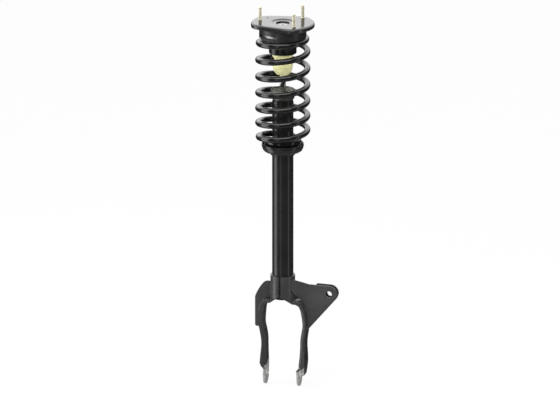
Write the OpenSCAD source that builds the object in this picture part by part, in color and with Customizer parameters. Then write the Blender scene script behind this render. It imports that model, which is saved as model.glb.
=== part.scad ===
// Front spring strut with a stamped fork, for an axle with two wishbones.
// Millimetres. +Z runs up the strut's axis and X is the axis of the bolt through the fork.
// The origin is the middle of that bolt axis, between the two fork tips.

/* [Damper] */
// Outer diameter of the damper tube
tube_od = 50; // [49:0.5:51]
// Wall of the damper tube
tube_wall = 2; // [1.8:0.1:2.4]
// Height of the damper tube's closed lower end
tube_bottom_z = 182; // [180:1:184]
// Height of the rolled upper edge of the damper tube
tube_top_z = 672; // [670:1:676]
// Diameter of the piston rod
rod_d = 14; // [12:0.5:15]
// Height of the main piston's underside at full extension
piston_z = 545; // [500:5:560]
// Height of the gas piston's underside at full extension
gas_piston_z = 300; // [240:5:340]

/* [Spring] */
// Diameter of the spring wire
wire_d = 14.5; // [12:0.5:15]
// Mean diameter of the working coils
coil_d = 115; // [112:0.5:118]
// Mean diameter of the small lower end coil
pigtail_d = 72.6; // [71:0.2:74]
// Height of the wire's centre at the lower end coil
pigtail_z = 565.5; // [565:0.5:567]
// Height of the wire's centre after one turn
first_coil_z = 575.5; // [575:0.5:578]
// Rise of the first working turn
first_pitch = 32.7; // [31:0.1:34]
// Added rise of each later turn
pitch_growth = 1.78; // [1.5:0.02:2]
// Height of the wire's centre at the upper end
top_coil_z = 812; // [810:0.5:813]

/* [Lower seat] */
// Outer diameter of the lower spring seat
seat_od = 99; // [97:0.5:101]
// Height of the seat's rim
seat_rim_z = 559.5; // [557:0.5:560]
// Height of the seat's floor
seat_floor_z = 541; // [540:0.5:542]

/* [Fork] */
// Thickness of the fork's sheet
fork_t = 4; // [3.5:0.25:4.5]
// Free width between the two fork tips
fork_gap = 77.6; // [76:0.2:80]
// Diameter of the hole for the lower bolt
bolt_hole_d = 16.5; // [14:0.5:18]
// Height of the top edge of the fork's collar
collar_top_z = 239; // [225:1:245]

/* [Link bracket] */
// Distance of the link hole from the strut's axis, along X
link_hole_x = 111; // [108:0.5:113]
// Height of the link hole
link_hole_z = 197; // [194:1:199]
// Diameter of the link hole
link_hole_d = 15; // [12:0.5:16]
// Sheet thickness of the link bracket and the gusset
bracket_t = 3; // [2.5:0.25:3.5]
// Outer depth of the folded link bracket, along Y
bracket_depth = 18; // [17:1:24]

/* [Upper mount] */
// Height of the top plate's upper face
plate_top_z = 853; // [852:0.5:855]
// Thickness of the top plate
plate_t = 3; // [2.5:0.25:3.5]
// Largest radius of the top plate
plate_r = 74.5; // [72:0.5:76]
// Distance from the axis to the two flat sides of the top plate
plate_flat = 57.5; // [56:0.5:62]
// Depth of the top plate's turned-down rim
plate_rim = 10; // [8:0.5:12]
// Radius of the circle that the studs stand on
stud_circle_r = 55; // [50:0.5:58]
// Diameter of the studs
stud_d = 8; // [6:1:10]
// Free length of the studs above the plate
stud_len = 33; // [25:1:40]
// Outer diameter of the mount's housing
housing_od = 111; // [109:0.5:113]
// Outer diameter of the bump stop's cup
cup_od = 65; // [62:0.5:67]
// Height of the cup's lower edge
cup_bottom_z = 779; // [776:1:782]

/* [Hidden] */
$fn = 72;

black_paint = [0.09, 0.09, 0.10];
bare_steel = [0.62, 0.62, 0.60];
dark_rubber = [0.06, 0.06, 0.06];
cap_grey = [0.45, 0.47, 0.43];
zinc_yellow = [0.86, 0.82, 0.62];
foam_yellow = [0.90, 0.87, 0.62];

tube_r = tube_od / 2;
bore_r = tube_r - tube_wall;
rod_r = rod_d / 2;
slide_gap = 0.05;
face_gap = 0.3;

crimp_z = tube_top_z - 7;
crimp_depth = 1.3;
guide_bottom_z = tube_top_z - 32;
guide_top_z = tube_top_z - 3.5;
seal_r = 13.5;
seal_z = guide_top_z - 9;
cap_low_z = tube_top_z - 4.4;
cap_floor_z = tube_top_z + 12;
cap_r = 28.8;

piston_h = 20;
piston_r = bore_r - 0.3;
band_depth = 1.3;
stub_r = 5;
shoulder_z = piston_z + piston_h + 3;
rod_shoulder_z = 818;
rod_end_r = 6;
rod_top_z = 848;
gas_piston_h = 18;

wire_r = wire_d / 2;
coil_turns = 7.58;
rings_per_turn = 24;
wire_sides = 6;
coil_start = 195;
flat_turns = 0.1;
swell_start = 0.58;
swell_end = 1.08;
end_coil_r = coil_d / 2 - 2.6;
last_full_turn = coil_turns - 1.08;

seat_t = 3;
seat_r = seat_od / 2;
pad_gap = 0.25;

bracket_y = 2;
bend_r = 7;
profile_n = 15;
arm_steps = 2;

tip_x = fork_gap / 2;

plate_bottom_z = plate_top_z - plate_t;
recess_r = 27;
recess_depth = 2.5;
plate_hole_r = 16;
nut_r = 15.4;
stud_angles = [180, 47, -47];
housing_r = housing_od / 2;
housing_t = 2.5;
floor_z = 821;
floor_t = 2;
seat_turn = 15;
seat_tilt = 2.9;
seat_plane_z = 817;
core_r = 47.5;
core_low_z = 817;
cup_r = cup_od / 2;
cup_t = 2.5;
cup_lip_z = core_low_z + 2;
stop_bottom_z = 725;
stop_top_z = rod_shoulder_z - 0.2;
sleeve_r = 11;
sleeve_bottom_z = rod_shoulder_z + 2.5;
sleeve_top_z = 838;
nut_z = sleeve_top_z + 2.5;
nut_h = 6.5;

// ---------------------------------------------------------------- helpers

// A ring of rectangular section
module ring(r_out, r_in, z_low, z_high) {
    translate([0, 0, z_low])
        difference() {
            cylinder(r = r_out, h = z_high - z_low);
            translate([0, 0, -1]) cylinder(r = r_in, h = z_high - z_low + 2);
        }
}

// A turned solid from its half section, given as [radius, height] points
module turned(points) {
    rotate_extrude() polygon(points);
}

// A wall parallel to X and Z, from y_front backwards, with its outline given as [x, z] points
module wall_y(points, y_front, depth) {
    translate([0, y_front + depth, 0])
        rotate([90, 0, 0])
            linear_extrude(height = depth) polygon(points);
}

function smooth(t) = let (u = min(1, max(0, t))) u * u * (3 - 2 * u);

function mix(a, b, t) = a * (1 - t) + b * t;

// Cubic from a to b with the end slopes sa and sb, for t from 0 to 1
function hermite(a, sa, b, sb, t) =
    a * (2 * t * t * t - 3 * t * t + 1) + sa * (t * t * t - 2 * t * t + t)
    + b * (3 * t * t - 2 * t * t * t) + sb * (t * t * t - t * t);

// Catmull-Rom point between b and c
function spline(a, b, c, d, t) =
    0.5 * (2 * b + (c - a) * t + (2 * a - 5 * b + 4 * c - d) * t * t
    + (3 * b - a - 3 * c + d) * t * t * t);

function unit(v) = v / norm(v);

// Triangles of a strip between two rows of n points that start at index p and q
function strip(p, q, n) = [
    for (i = [0 : n - 2])
        for (face = [[p + i, p + i + 1, q + i + 1], [p + i, q + i + 1, q + i]])
            face
];

function flipped(faces) = [for (f = faces) [f[2], f[1], f[0]]];

// A sheet of metal between two grids of points. With the rows running down and each row
// running to the right, near is the face that is seen from in front.
module sheet(near, far) {
    rows = len(near);
    cols = len(near[0]);
    count = rows * cols;
    points = concat([for (row = near) each row], [for (row = far) each row]);
    near_faces = [for (r = [0 : rows - 2]) each strip(r * cols, (r + 1) * cols, cols)];
    far_faces = [for (r = [0 : rows - 2])
        each flipped(strip(count + r * cols, count + (r + 1) * cols, cols))];
    first_edge = flipped(strip(0, count, cols));
    last_edge = strip(count - cols, 2 * count - cols, cols);
    side_edges = [
        for (r = [0 : rows - 2])
            let (a = r * cols, b = a + cols, c = a + cols - 1, d = b + cols - 1)
            for (face = [[a, b, count + b], [a, count + b, count + a],
                         [c, count + d, d], [c, count + c, count + d]])
                face
    ];
    polyhedron(points, concat(near_faces, far_faces, first_edge, last_edge, side_edges));
}

// ---------------------------------------------------------------- damper

module damper_tube() {
    dent = crimp_z;
    color(black_paint)
        turned([
            [tube_r, tube_bottom_z], [tube_r, dent - 10], [tube_r + 0.6, dent - 7],
            [tube_r, dent - 4], [tube_r - 0.9, dent - 1.6], [tube_r - crimp_depth, dent],
            [tube_r - 0.9, dent + 1.6], [tube_r, dent + 4], [tube_r - 0.6, dent + 5.8],
            [tube_r - 2.2, tube_top_z], [bore_r - 3, tube_top_z], [bore_r - 3, guide_top_z + 0.3],
            [bore_r, guide_top_z + 0.3], [bore_r, dent + 3.2], [bore_r - crimp_depth, dent],
            [bore_r, dent - 3.2], [bore_r, tube_bottom_z]
        ]);
}

module tube_base() {
    color(bare_steel)
        turned([
            [0, tube_bottom_z + 1], [bore_r - 4, tube_bottom_z + 1], [bore_r - 2, tube_bottom_z],
            [bore_r, tube_bottom_z], [bore_r, tube_bottom_z + 7],
            [bore_r - 3, tube_bottom_z + 7], [bore_r - 5, tube_bottom_z + 5], [0, tube_bottom_z + 5]
        ]);
}

module rod_guide() {
    outer = bore_r - slide_gap;
    color(bare_steel)
        turned([
            [rod_r + slide_gap, guide_bottom_z], [outer - 2, guide_bottom_z],
            [outer, guide_bottom_z + 2], [outer, crimp_z - 3.4],
            [outer - crimp_depth, crimp_z], [outer, crimp_z + 3.4], [outer, guide_top_z],
            [seal_r, guide_top_z], [seal_r, seal_z], [rod_r + slide_gap, seal_z]
        ]);
}

module rod_seal() {
    color(dark_rubber)
        turned([
            [rod_r + 2, seal_z + 0.1], [seal_r - 0.1, seal_z + 0.1], [seal_r - 0.1, guide_top_z],
            [rod_r + slide_gap, guide_top_z], [rod_r + slide_gap, guide_top_z - 2],
            [rod_r + 1.5, guide_top_z - 4], [rod_r + slide_gap, seal_z + 3],
            [rod_r + slide_gap, seal_z + 1]
        ]);
}

// Cup pressed over the tube's end, with a dish on top and a flanged hole for the rod
module tube_cap() {
    low = cap_low_z;
    dish = cap_floor_z;
    color(cap_grey)
        turned([
            [tube_r + 0.2, low], [tube_r + 1.2, low + 0.8], [tube_r + 2.8, low + 3.9],
            [cap_r - 0.2, low + 7.4], [cap_r, low + 11.4], [cap_r - 0.4, low + 17.4],
            [cap_r - 1.4, low + 22.4], [cap_r - 2.2, low + 22.8], [cap_r - 2.9, low + 22],
            [tube_r, dish + 2], [tube_r - 3, dish], [rod_r + 5.5, dish + 0.2],
            [rod_r + 4.6, dish + 1.5], [rod_r + 4.2, dish + 4.5], [rod_r + 3, dish + 5.2],
            [rod_r + 0.8, dish + 5.2], [rod_r + 0.8, dish + 3.2], [rod_r + 2.4, dish + 3],
            [rod_r + 2.6, dish - 1.5], [tube_r - 3.5, dish - 2], [tube_r + 0.5, dish - 1],
            [tube_r + 1.3, dish - 4], [tube_r + 1.4, dish - 8], [tube_r + 0.6, low + 5.4],
            [tube_r + 0.2, low + 3.9]
        ]);
}

module gas_piston() {
    low = gas_piston_z;
    color(bare_steel)
        turned([
            [0, low], [piston_r - 8, low], [piston_r - 6, low - 4], [piston_r, low - 4],
            [piston_r, low + 4.5], [piston_r - 3, low + 4.5], [piston_r - 3, low + 9.5],
            [piston_r, low + 9.5], [piston_r, low + gas_piston_h - 4], [0, low + gas_piston_h - 4]
        ]);
}

module gas_piston_ring() {
    low = gas_piston_z + 4.7;
    color(dark_rubber)
        turned([
            [piston_r - 2.9, low], [bore_r - 1, low], [bore_r - slide_gap, low + 1.2],
            [bore_r - slide_gap, low + 3.4], [bore_r - 1, low + 4.6], [piston_r - 2.9, low + 4.6]
        ]);
}

module piston_rod() {
    socket_r = 3;
    color("silver")
        difference() {
            turned([
                [0, piston_z - 15], [stub_r - 1, piston_z - 15], [stub_r, piston_z - 14],
                [stub_r, shoulder_z], [rod_r, shoulder_z + 1], [rod_r, rod_shoulder_z],
                [rod_end_r, rod_shoulder_z], [rod_end_r, rod_top_z - 1],
                [rod_end_r - 1, rod_top_z], [0, rod_top_z]
            ]);
            // Hexagon that holds the rod while its nut is turned
            translate([0, 0, rod_top_z - 5]) cylinder(r = socket_r, h = 10, $fn = 6);
        }
}

module piston() {
    top = piston_z + piston_h;
    port_r = 13.5;
    groove_r = bore_r - band_depth - 0.2;
    color(bare_steel)
        difference() {
            turned([
                [stub_r, piston_z], [piston_r - 2, piston_z], [piston_r, piston_z + 2],
                [piston_r, piston_z + 4], [groove_r, piston_z + 4], [groove_r, top - 4],
                [piston_r, top - 4], [piston_r, top - 2], [piston_r - 2, top], [stub_r, top]
            ]);
            for (i = [0 : 7])
                rotate([0, 0, 45 * i])
                    translate([port_r, 0, piston_z - 1])
                        cylinder(r = 1.6, h = piston_h + 2);
        }
}

module piston_band() {
    color(dark_rubber)
        ring(bore_r - slide_gap, bore_r - band_depth - 0.1, piston_z + 4.2, piston_z + piston_h - 4.2);
}

// Stacks of spring discs on both sides of the piston, smaller towards their ends
module valve_shims() {
    color("gray")
        turned([
            [stub_r, piston_z + piston_h], [11.8, piston_z + piston_h],
            [11.8, piston_z + piston_h + 1], [9.5, piston_z + piston_h + 1],
            [9.5, shoulder_z], [stub_r, shoulder_z]
        ]);
    color("gray")
        turned([
            [stub_r, piston_z - 3], [9.5, piston_z - 3], [9.5, piston_z - 1.5],
            [11.8, piston_z - 1.5], [11.8, piston_z], [stub_r, piston_z]
        ]);
}

module piston_nut() {
    nut_h = 8;
    color("silver")
        translate([0, 0, piston_z - 3 - nut_h])
            difference() {
                cylinder(r = 9.8, h = nut_h, $fn = 6);
                translate([0, 0, -1]) cylinder(r = stub_r, h = nut_h + 2);
            }
}

module rebound_stop() {
    high = guide_bottom_z - face_gap;
    color(dark_rubber)
        turned([
            [rod_r, high - 13], [rod_r + 3, high - 13], [rod_r + 5, high - 10],
            [rod_r + 6.5, high - 2], [rod_r + 5.5, high], [rod_r, high]
        ]);
}

// ---------------------------------------------------------------- spring and its seats

// Turns are counted from the lower end of the wire
function coil_radius(turn) =
    turn < 3
        ? mix(pigtail_d, coil_d, smooth((turn - swell_start) / (swell_end - swell_start))) / 2
        : mix(coil_d / 2, end_coil_r, smooth(turn - last_full_turn));

function working_z(turn) = let (n = turn - 1) first_coil_z + first_pitch * n + pitch_growth / 2 * n * n;

function working_slope(turn) = first_pitch + pitch_growth * (turn - 1);

function coil_z(turn) =
    turn < flat_turns ? pigtail_z
    : turn < 1
        ? let (span = 1 - flat_turns)
          hermite(pigtail_z, 0, first_coil_z, first_pitch * span, (turn - flat_turns) / span)
    : turn < last_full_turn ? working_z(turn)
    : turn < last_full_turn + 1
        ? hermite(working_z(last_full_turn), working_slope(last_full_turn), top_coil_z, 0,
                  turn - last_full_turn)
    : top_coil_z;

function coil_point(turn) =
    let (a = coil_start + 360 * turn)
    [coil_radius(turn) * cos(a), coil_radius(turn) * sin(a), coil_z(turn)];

coil_rings = round(coil_turns * rings_per_turn);
coil_path = [for (i = [0 : coil_rings]) coil_point(i * coil_turns / coil_rings)];

// Least distance between the faces of turns that lie over each other
coil_gap = min([
    for (i = [0 : coil_rings])
        for (j = [i + rings_per_turn / 2 : 1 : coil_rings])
            norm(coil_path[i] - coil_path[j])
]) - wire_d;
echo(least_gap_between_coils = coil_gap);

// Rings of the wire, each square to the path, with one side always facing the axis
coil_wire = [
    for (i = [0 : coil_rings])
        let (a = coil_path[max(0, i - 1)],
             b = coil_path[min(coil_rings, i + 1)],
             along = unit(b - a),
             across = unit(cross(along, [0, 0, 1])),
             up = cross(across, along))
        for (k = [0 : wire_sides - 1])
            let (w = 360 * k / wire_sides)
            coil_path[i] + wire_r * (across * cos(w) + up * sin(w))
];

module coil_spring() {
    last = coil_rings * wire_sides;
    side_faces = [
        for (i = [0 : coil_rings - 1])
            for (k = [0 : wire_sides - 1])
                let (a = i * wire_sides + k,
                     b = i * wire_sides + (k + 1) % wire_sides,
                     c = a + wire_sides,
                     d = b + wire_sides)
                for (face = [[a, b, d], [a, d, c]])
                    face
    ];
    end_faces = [
        for (k = [1 : wire_sides - 2])
            for (face = [[0, k + 1, k], [last, last + k, last + k + 1]])
                face
    ];
    color(black_paint)
        polyhedron(coil_wire, concat(side_faces, end_faces));
}

// Pressed dish with a cone neck. The pad lies against its inner side.
module lower_spring_seat() {
    floor = seat_floor_z;
    rim = seat_rim_z;
    stop_w = 9;
    color(black_paint) {
        turned([
            [tube_r, floor - 8.5], [tube_r + 2.4, floor - 8.5], [tube_r + 3.2, floor - 6.5],
            [tube_r + 4.5, floor - 4], [tube_r + 9, floor - 2.4], [seat_r - 8, floor - 0.5],
            [seat_r - 3.9, floor + 2.3], [seat_r - 1.2, floor + 7.5], [seat_r, floor + 14],
            [seat_r, rim - 1], [seat_r - 1, rim], [seat_r - seat_t, rim],
            [seat_r - seat_t, floor + 14.5], [seat_r - 4, floor + 8.9],
            [seat_r - 6.3, floor + 4.3], [seat_r - 9.3, floor + 2.4],
            [seat_r - 15, floor + 0.3], [tube_r, floor + 0.3]
        ]);
        // Lug on the rim that the spring's end stops against
        rotate([0, 0, -6])
            translate([seat_r - seat_t, -stop_w / 2, rim - 6])
                cube([seat_t - 0.4, stop_w, 13]);
    }
}

module lower_spring_pad() {
    floor = seat_floor_z;
    high = pigtail_z - wire_r - pad_gap;
    color(dark_rubber)
        turned([
            [tube_r + 1, floor + 0.6], [seat_r - 15.1, floor + 0.6], [seat_r - 9.6, floor + 2.8],
            [seat_r - 6.7, floor + 4.6], [seat_r - 4.4, floor + 9.1],
            [seat_r - 4.4, high - 1], [seat_r - 5.4, high], [tube_r + 4, high],
            [tube_r + 2.6, high + 4], [tube_r + 1, high + 4]
        ]);
}

module bump_stop() {
    low = stop_bottom_z;
    color(foam_yellow)
        turned([
            [rod_r + 1, low + 2], [rod_r + 2, low], [10, low + 0.4], [14.5, low + 2.5],
            [18.5, low + 6.5], [21.6, low + 12], [23.4, low + 18], [23.75, low + 24],
            [23, low + 30], [20.6, low + 35.5], [19.6, low + 38.5], [20.4, low + 41.5],
            [23.6, low + 45], [25.5, low + 50], [25.5, stop_top_z], [rod_r + 1, stop_top_z]
        ]);
}

// Rubber ring that holds the foam in its cup
module stop_collar() {
    outer = cup_r - cup_t - 0.1;
    color(dark_rubber) ring(outer, 25.6, cup_bottom_z + 3, stop_top_z);
}

module bump_stop_cup() {
    hole_turn = -58;
    hole_r = 7.5;
    color(black_paint)
        difference() {
            turned([
                [cup_r - cup_t, cup_bottom_z], [cup_r, cup_bottom_z], [cup_r, cup_lip_z],
                [cup_r + 6, cup_lip_z], [cup_r + 6, cup_lip_z + cup_t],
                [cup_r - cup_t, cup_lip_z + cup_t]
            ]);
            rotate([0, 0, hole_turn])
                translate([0, 0, cup_bottom_z + 14.5])
                    rotate([0, 90, 0]) {
                        cylinder(r = hole_r, h = cup_r + 5);
                        translate([0, 0, cup_r - 2.2])
                            cylinder(r1 = hole_r, r2 = hole_r + 6, h = 4);
                    }
        }
}

// ---------------------------------------------------------------- fork

// Middle points of the collar's half ring from front to back. It runs at height z_seam at
// the seams and z_mid at the side, and stands off the tube by ease.
function collar_row(z_seam, z_mid, ease) = [
    for (i = [0 : profile_n - 1])
        let (a = -85 + 170 * i / (profile_n - 1),
             r = tube_r + fork_t / 2 + 0.16 + ease,
             z = mix(z_seam, z_mid, smooth((85 - abs(a)) / 45)))
        [r * cos(a), r * sin(a), z]
];

// Middle points of a channel that opens away from the gap, as [out, across] pairs:
// front flange, bend, web, bend, rear flange. The web swells outwards by crown.
function channel(width, flange, crown = 0) =
    let (half = width / 2 - fork_t / 2, web = fork_t / 2, root = web + bend_r)
    [for (i = [0 : profile_n - 1])
        let (side = i < profile_n / 2 ? -1 : 1,
             k = min(i, profile_n - 1 - i),
             p = k < 2 ? [mix(max(flange, root + 0.4), root, k / 2), side * half]
                 : k < 6
                     ? let (a = (k - 2) * 30)
                       [root - bend_r * sin(a), side * (half - bend_r + bend_r * cos(a))]
                 : [web, (i - 7) * (half - bend_r) / 2])
        [p[0] + crown * pow(cos(90 * p[1] / half), 2), p[1]]
    ];

// Channel row whose web starts at x, z, turned by tilt towards +Z and centred on y_mid
function arm_row(x, z, tilt, y_mid, width, flange, crown = 0) = [
    for (p = channel(width, flange, crown))
        [x + p[0] * cos(tilt), y_mid + p[1], z + p[0] * sin(tilt)]
];

// Row of the arm's foot: flat in front, with the rear flange of a channel
function foot_row(z, y_front, y_mid, width, flange) =
    let (section = channel(width, flange))
    [for (i = [0 : profile_n - 1])
        i < 7 ? [tip_x + fork_t / 2, mix(y_front, y_mid, i / 7), z]
        : [tip_x + section[i][0], y_mid + section[i][1], z]
    ];

// Row of the flat tongue
function tongue_row(z, width) = [
    for (i = [0 : profile_n - 1])
        [tip_x + fork_t / 2, -1 + width * (i / (profile_n - 1) - 0.5), z]
];

// Row between a and b, with the share of b going from edge at the ends to middle
function mixed_row(a, b, edge, middle) = [
    for (i = [0 : profile_n - 1])
        mix(a[i], b[i], mix(edge, middle, smooth(min(i, profile_n - 1 - i) / 5)))
];

// Rows of the right half from the collar's top down to the rounded tip
half_rows = [
    collar_row(collar_top_z, collar_top_z, 0),
    collar_row(216, 216, 0),
    collar_row(199, 195, 0.1),
    collar_row(190, 181.5, 0.5),
    mixed_row(collar_row(184, 172, 0.5), arm_row(28, 171.5, 72, 1.5, 49, 5, 4), 0.5, 0.75),
    arm_row(32.5, 169.5, 58, 3, 48, 5.5, 7),
    arm_row(39.6, 164.4, 46, 6, 46, 7, 8),
    arm_row(43.8, 154, 26, 8.2, 45, 9, 5),
    arm_row(45.6, 143, 9, 9.8, 43.5, 10.4, 1.5),
    arm_row(47, 130, 4, 11.4, 40.5, 10.6),
    arm_row(47.2, 114, -4, 12.7, 37.5, 10.2),
    arm_row(44, 96, -11, 14.4, 36.8, 10),
    arm_row(41.5, 80, -4, 14.8, 36.5, 10),
    arm_row(41, 60, 0, 14.8, 36.5, 10.6),
    arm_row(40.2, 40, -1, 13, 37, 13),
    arm_row(39.2, 25, -1, 11, 38.6, 14.6),
    arm_row(tip_x, 17, 0, 10, 39, 14.6),
    foot_row(10.5, -21.5, 9.3, 39.4, 14),
    foot_row(0, -22, 8.2, 39.2, 12.6),
    foot_row(-7, -21.5, 7.4, 38.6, 10.4),
    tongue_row(-13, 40),
    tongue_row(-19, 36),
    tongue_row(-24.5, 28),
    tongue_row(-28.5, 16),
    tongue_row(-30, 5)
];

function row_at(k) = half_rows[min(len(half_rows) - 1, max(0, k))];

half_grid = [
    for (k = [0 : len(half_rows) - 2])
        for (j = [0 : arm_steps - (k == len(half_rows) - 2 ? 0 : 1)])
            [for (i = [0 : profile_n - 1])
                spline(row_at(k - 1)[i], row_at(k)[i], row_at(k + 1)[i], row_at(k + 2)[i],
                       j / arm_steps)]
];

function grid_normal(g, r, c) =
    let (down = g[min(len(g) - 1, r + 1)][c] - g[max(0, r - 1)][c],
         along = g[r][min(profile_n - 1, c + 1)] - g[r][max(0, c - 1)])
    unit(cross(along, down));

function grid_offset(g, d) = [
    for (r = [0 : len(g) - 1])
        [for (c = [0 : profile_n - 1]) g[r][c] + d * grid_normal(g, r, c)]
];

module fork_half() {
    color(black_paint)
        difference() {
            sheet(grid_offset(half_grid, -fork_t / 2), grid_offset(half_grid, fork_t / 2));
            translate([tip_x - 10, 0, 0])
                rotate([0, 90, 0])
                    cylinder(d = bolt_hole_d, h = 30);
        }
}

module fork_half_right() {
    fork_half();
}

module fork_half_left() {
    mirror([1, 0, 0]) fork_half();
}

// ---------------------------------------------------------------- gusset and link bracket

// Outline of the right arm's outer face as [x, z] points from the collar down, with the
// gap that the plates keep from it
arm_face = [
    for (row = grid_offset(half_grid, -fork_t / 2 - face_gap))
        [row[(profile_n - 1) / 2][0], row[(profile_n - 1) / 2][2]]
];

module gusset_plate() {
    arm_edge = [for (p = arm_face) if (p[1] > 110 && p[1] < 217) [-p[0], p[1]]];
    color(black_paint)
        wall_y(concat([
            [-52.2, 107], [-64.5, 107], [-67, 108.5], [-68, 111], [-68, 178], [-66.5, 184],
            [-61, 195.5], [-55, 205.5], [-50, 212], [-46, 216.5], [-40, 219.5], [-29.5, 219.5]
        ], arm_edge), bracket_y, bracket_t);
}

foot = [57.5, 112];
foot_r = 5.5;
eye_r = 20;
foot_dx = link_hole_x - foot[0];
foot_dz = link_hole_z - foot[1];
foot_span = norm([foot_dx, foot_dz]);
fold_turn = atan2(foot_dz, foot_dx) + 90 - acos((foot_r - eye_r) / foot_span);
fold_foot = [foot[0] + foot_r * sin(fold_turn), foot[1] - foot_r * cos(fold_turn)];

// Outline of the bracket's two flat walls, relieved over the shoulder of the arm
module link_outline() {
    difference() {
        hull() {
            translate([link_hole_x, link_hole_z]) circle(r = eye_r);
            translate([66.5, 213.5]) circle(r = 4.5);
            translate([44, 180]) circle(r = 2);
            translate(foot) circle(r = foot_r);
        }
        polygon(concat([[20, 200]], [for (p = arm_face) if (p[1] > 100 && p[1] < 200) p], [[20, 100]]));
    }
}

// Section of the folded sheet, square to its fold: [distance from the fold, depth]
module fold_section() {
    round_r = 8;
    far = 130;
    difference() {
        union() {
            translate([round_r, round_r]) circle(r = round_r);
            translate([round_r, bracket_depth - round_r]) circle(r = round_r);
            translate([0, round_r]) square([20, bracket_depth - 2 * round_r]);
            translate([round_r, 0]) square([far, bracket_depth]);
        }
        translate([round_r, round_r]) circle(r = round_r - bracket_t);
        translate([round_r, bracket_depth - round_r]) circle(r = round_r - bracket_t);
        translate([bracket_t, round_r]) square([20, bracket_depth - 2 * round_r]);
        translate([round_r, bracket_t]) square([far + 1, bracket_depth - 2 * bracket_t]);
    }
}

// Grid of the twisted web between the collar and the bracket's front wall, moved by offset
function web_grid(offset) = [
    for (r = [0 : 4])
        [for (c = [0 : 5])
            let (down = r / 4,
                 out = c / 5,
                 high = mix([26.5, -15.2, 233], [70, bracket_y + 1.5, 216.6], out),
                 low = mix([26.5, -15.2, 203], [43, bracket_y + 1.5, 180.5], out))
            mix(high, low, down) + offset]
];

module link_bracket() {
    reach = 140;
    color(black_paint)
        difference() {
            union() {
                intersection() {
                    translate([fold_foot[0], bracket_y, fold_foot[1]])
                        rotate([0, -90 - fold_turn, 0])
                            translate([0, 0, -reach])
                                linear_extrude(height = reach + 20) fold_section();
                    translate([0, bracket_y + bracket_depth + 1, 0])
                        rotate([90, 0, 0])
                            linear_extrude(height = bracket_depth + 2) link_outline();
                }
                sheet(web_grid([0.6, -1.4, 0]), web_grid([-0.6, 1.4, 0]));
            }
            translate([link_hole_x, bracket_y - 5, link_hole_z])
                rotate([-90, 0, 0])
                    cylinder(d = link_hole_d, h = bracket_depth + 10);
            // Corner cut off the rear wall
            wall_y([[30, 174], [49, 178], [60, 195], [80, 219], [80, 230], [30, 230]],
                   bracket_y + 8, bracket_depth);
        }
}

// ---------------------------------------------------------------- upper mount

// Distance from the axis to the plate's outline in direction a, drawn in by inset
function plate_reach(a, inset) =
    let (flat = min(
            (plate_flat - inset) / max(0.01, cos(a - 101)),
            (plate_flat - inset) / max(0.01, cos(a + 101))),
         round = plate_r - inset,
         p = 14)
    pow(pow(1 / flat, p) + pow(1 / round, p), -1 / p);

plate_sides = 60;

function plate_ring(inset, z) = [
    for (i = [0 : plate_sides])
        let (a = 360 * i / plate_sides)
        [plate_reach(a, inset) * cos(a), plate_reach(a, inset) * sin(a), z]
];

function round_ring(r, z) = [
    for (i = [0 : plate_sides])
        let (a = 360 * i / plate_sides)
        [r * cos(a), r * sin(a), z]
];

// Rows of the pressed plate's section, from the rim over the top to the centre and back
plate_rows = [
    plate_ring(0.4, plate_top_z - plate_rim),
    plate_ring(0, plate_top_z - 6),
    plate_ring(0.6, plate_top_z - 3.4),
    plate_ring(2.2, plate_top_z - 1.2),
    plate_ring(5, plate_top_z),
    round_ring(recess_r, plate_top_z),
    round_ring(recess_r - 3, plate_top_z - recess_depth),
    round_ring(plate_hole_r - 0.8, plate_top_z - recess_depth),
    round_ring(plate_hole_r - 0.8, plate_bottom_z - recess_depth),
    round_ring(recess_r - 2.4, plate_bottom_z - recess_depth),
    round_ring(recess_r + 0.6, plate_bottom_z),
    plate_ring(6, plate_bottom_z),
    plate_ring(3.6, plate_top_z - 5),
    plate_ring(3.2, plate_top_z - plate_rim)
];

module pressed_plate() {
    rows = len(plate_rows);
    cols = plate_sides;
    points = [for (row = plate_rows) for (i = [0 : cols - 1]) row[i]];
    faces = [
        for (r = [0 : rows - 1])
            for (i = [0 : cols - 1])
                let (a = r * cols + i,
                     b = r * cols + (i + 1) % cols,
                     c = (r + 1) % rows * cols + i,
                     d = (r + 1) % rows * cols + (i + 1) % cols)
                for (face = [[a, c, d], [a, d, b]])
                    face
    ];
    polyhedron(points, faces);
}

module mount_plate() {
    color("dimgray")
        difference() {
            pressed_plate();
            translate([0, 0, plate_top_z - 20]) cylinder(r = plate_hole_r, h = 30);
            for (a = stud_angles)
                rotate([0, 0, a])
                    translate([stud_circle_r, 0, plate_top_z - 20])
                        cylinder(d = stud_d + 1.5, h = 30);
            // Locating hole
            rotate([0, 0, 150])
                translate([50, 0, plate_top_z - 20])
                    cylinder(r = 2.5, h = 30);
        }
}

module mount_studs() {
    r = stud_d / 2;
    top = plate_top_z + stud_len;
    color(zinc_yellow)
        for (a = stud_angles)
            rotate([0, 0, a])
                translate([stud_circle_r, 0, 0])
                    turned([
                        [0, plate_bottom_z - 3.2], [r + 3.4, plate_bottom_z - 3.2],
                        [r + 3.4, plate_bottom_z - 0.1], [r + 0.7, plate_bottom_z - 0.1],
                        [r + 0.7, plate_top_z + 2.6], [r, plate_top_z + 3.2],
                        [r, top - 1.2], [r - 1.2, top], [0, top]
                    ]);
}

// Half space under the tilted plane that the last coil bears on, raised by lift
module below_seat_plane(lift) {
    rotate([0, 0, seat_turn])
        translate([0, 0, seat_plane_z + lift])
            rotate([0, -seat_tilt, 0])
                translate([-100, -100, -40])
                    cube([200, 200, 40]);
}

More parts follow.
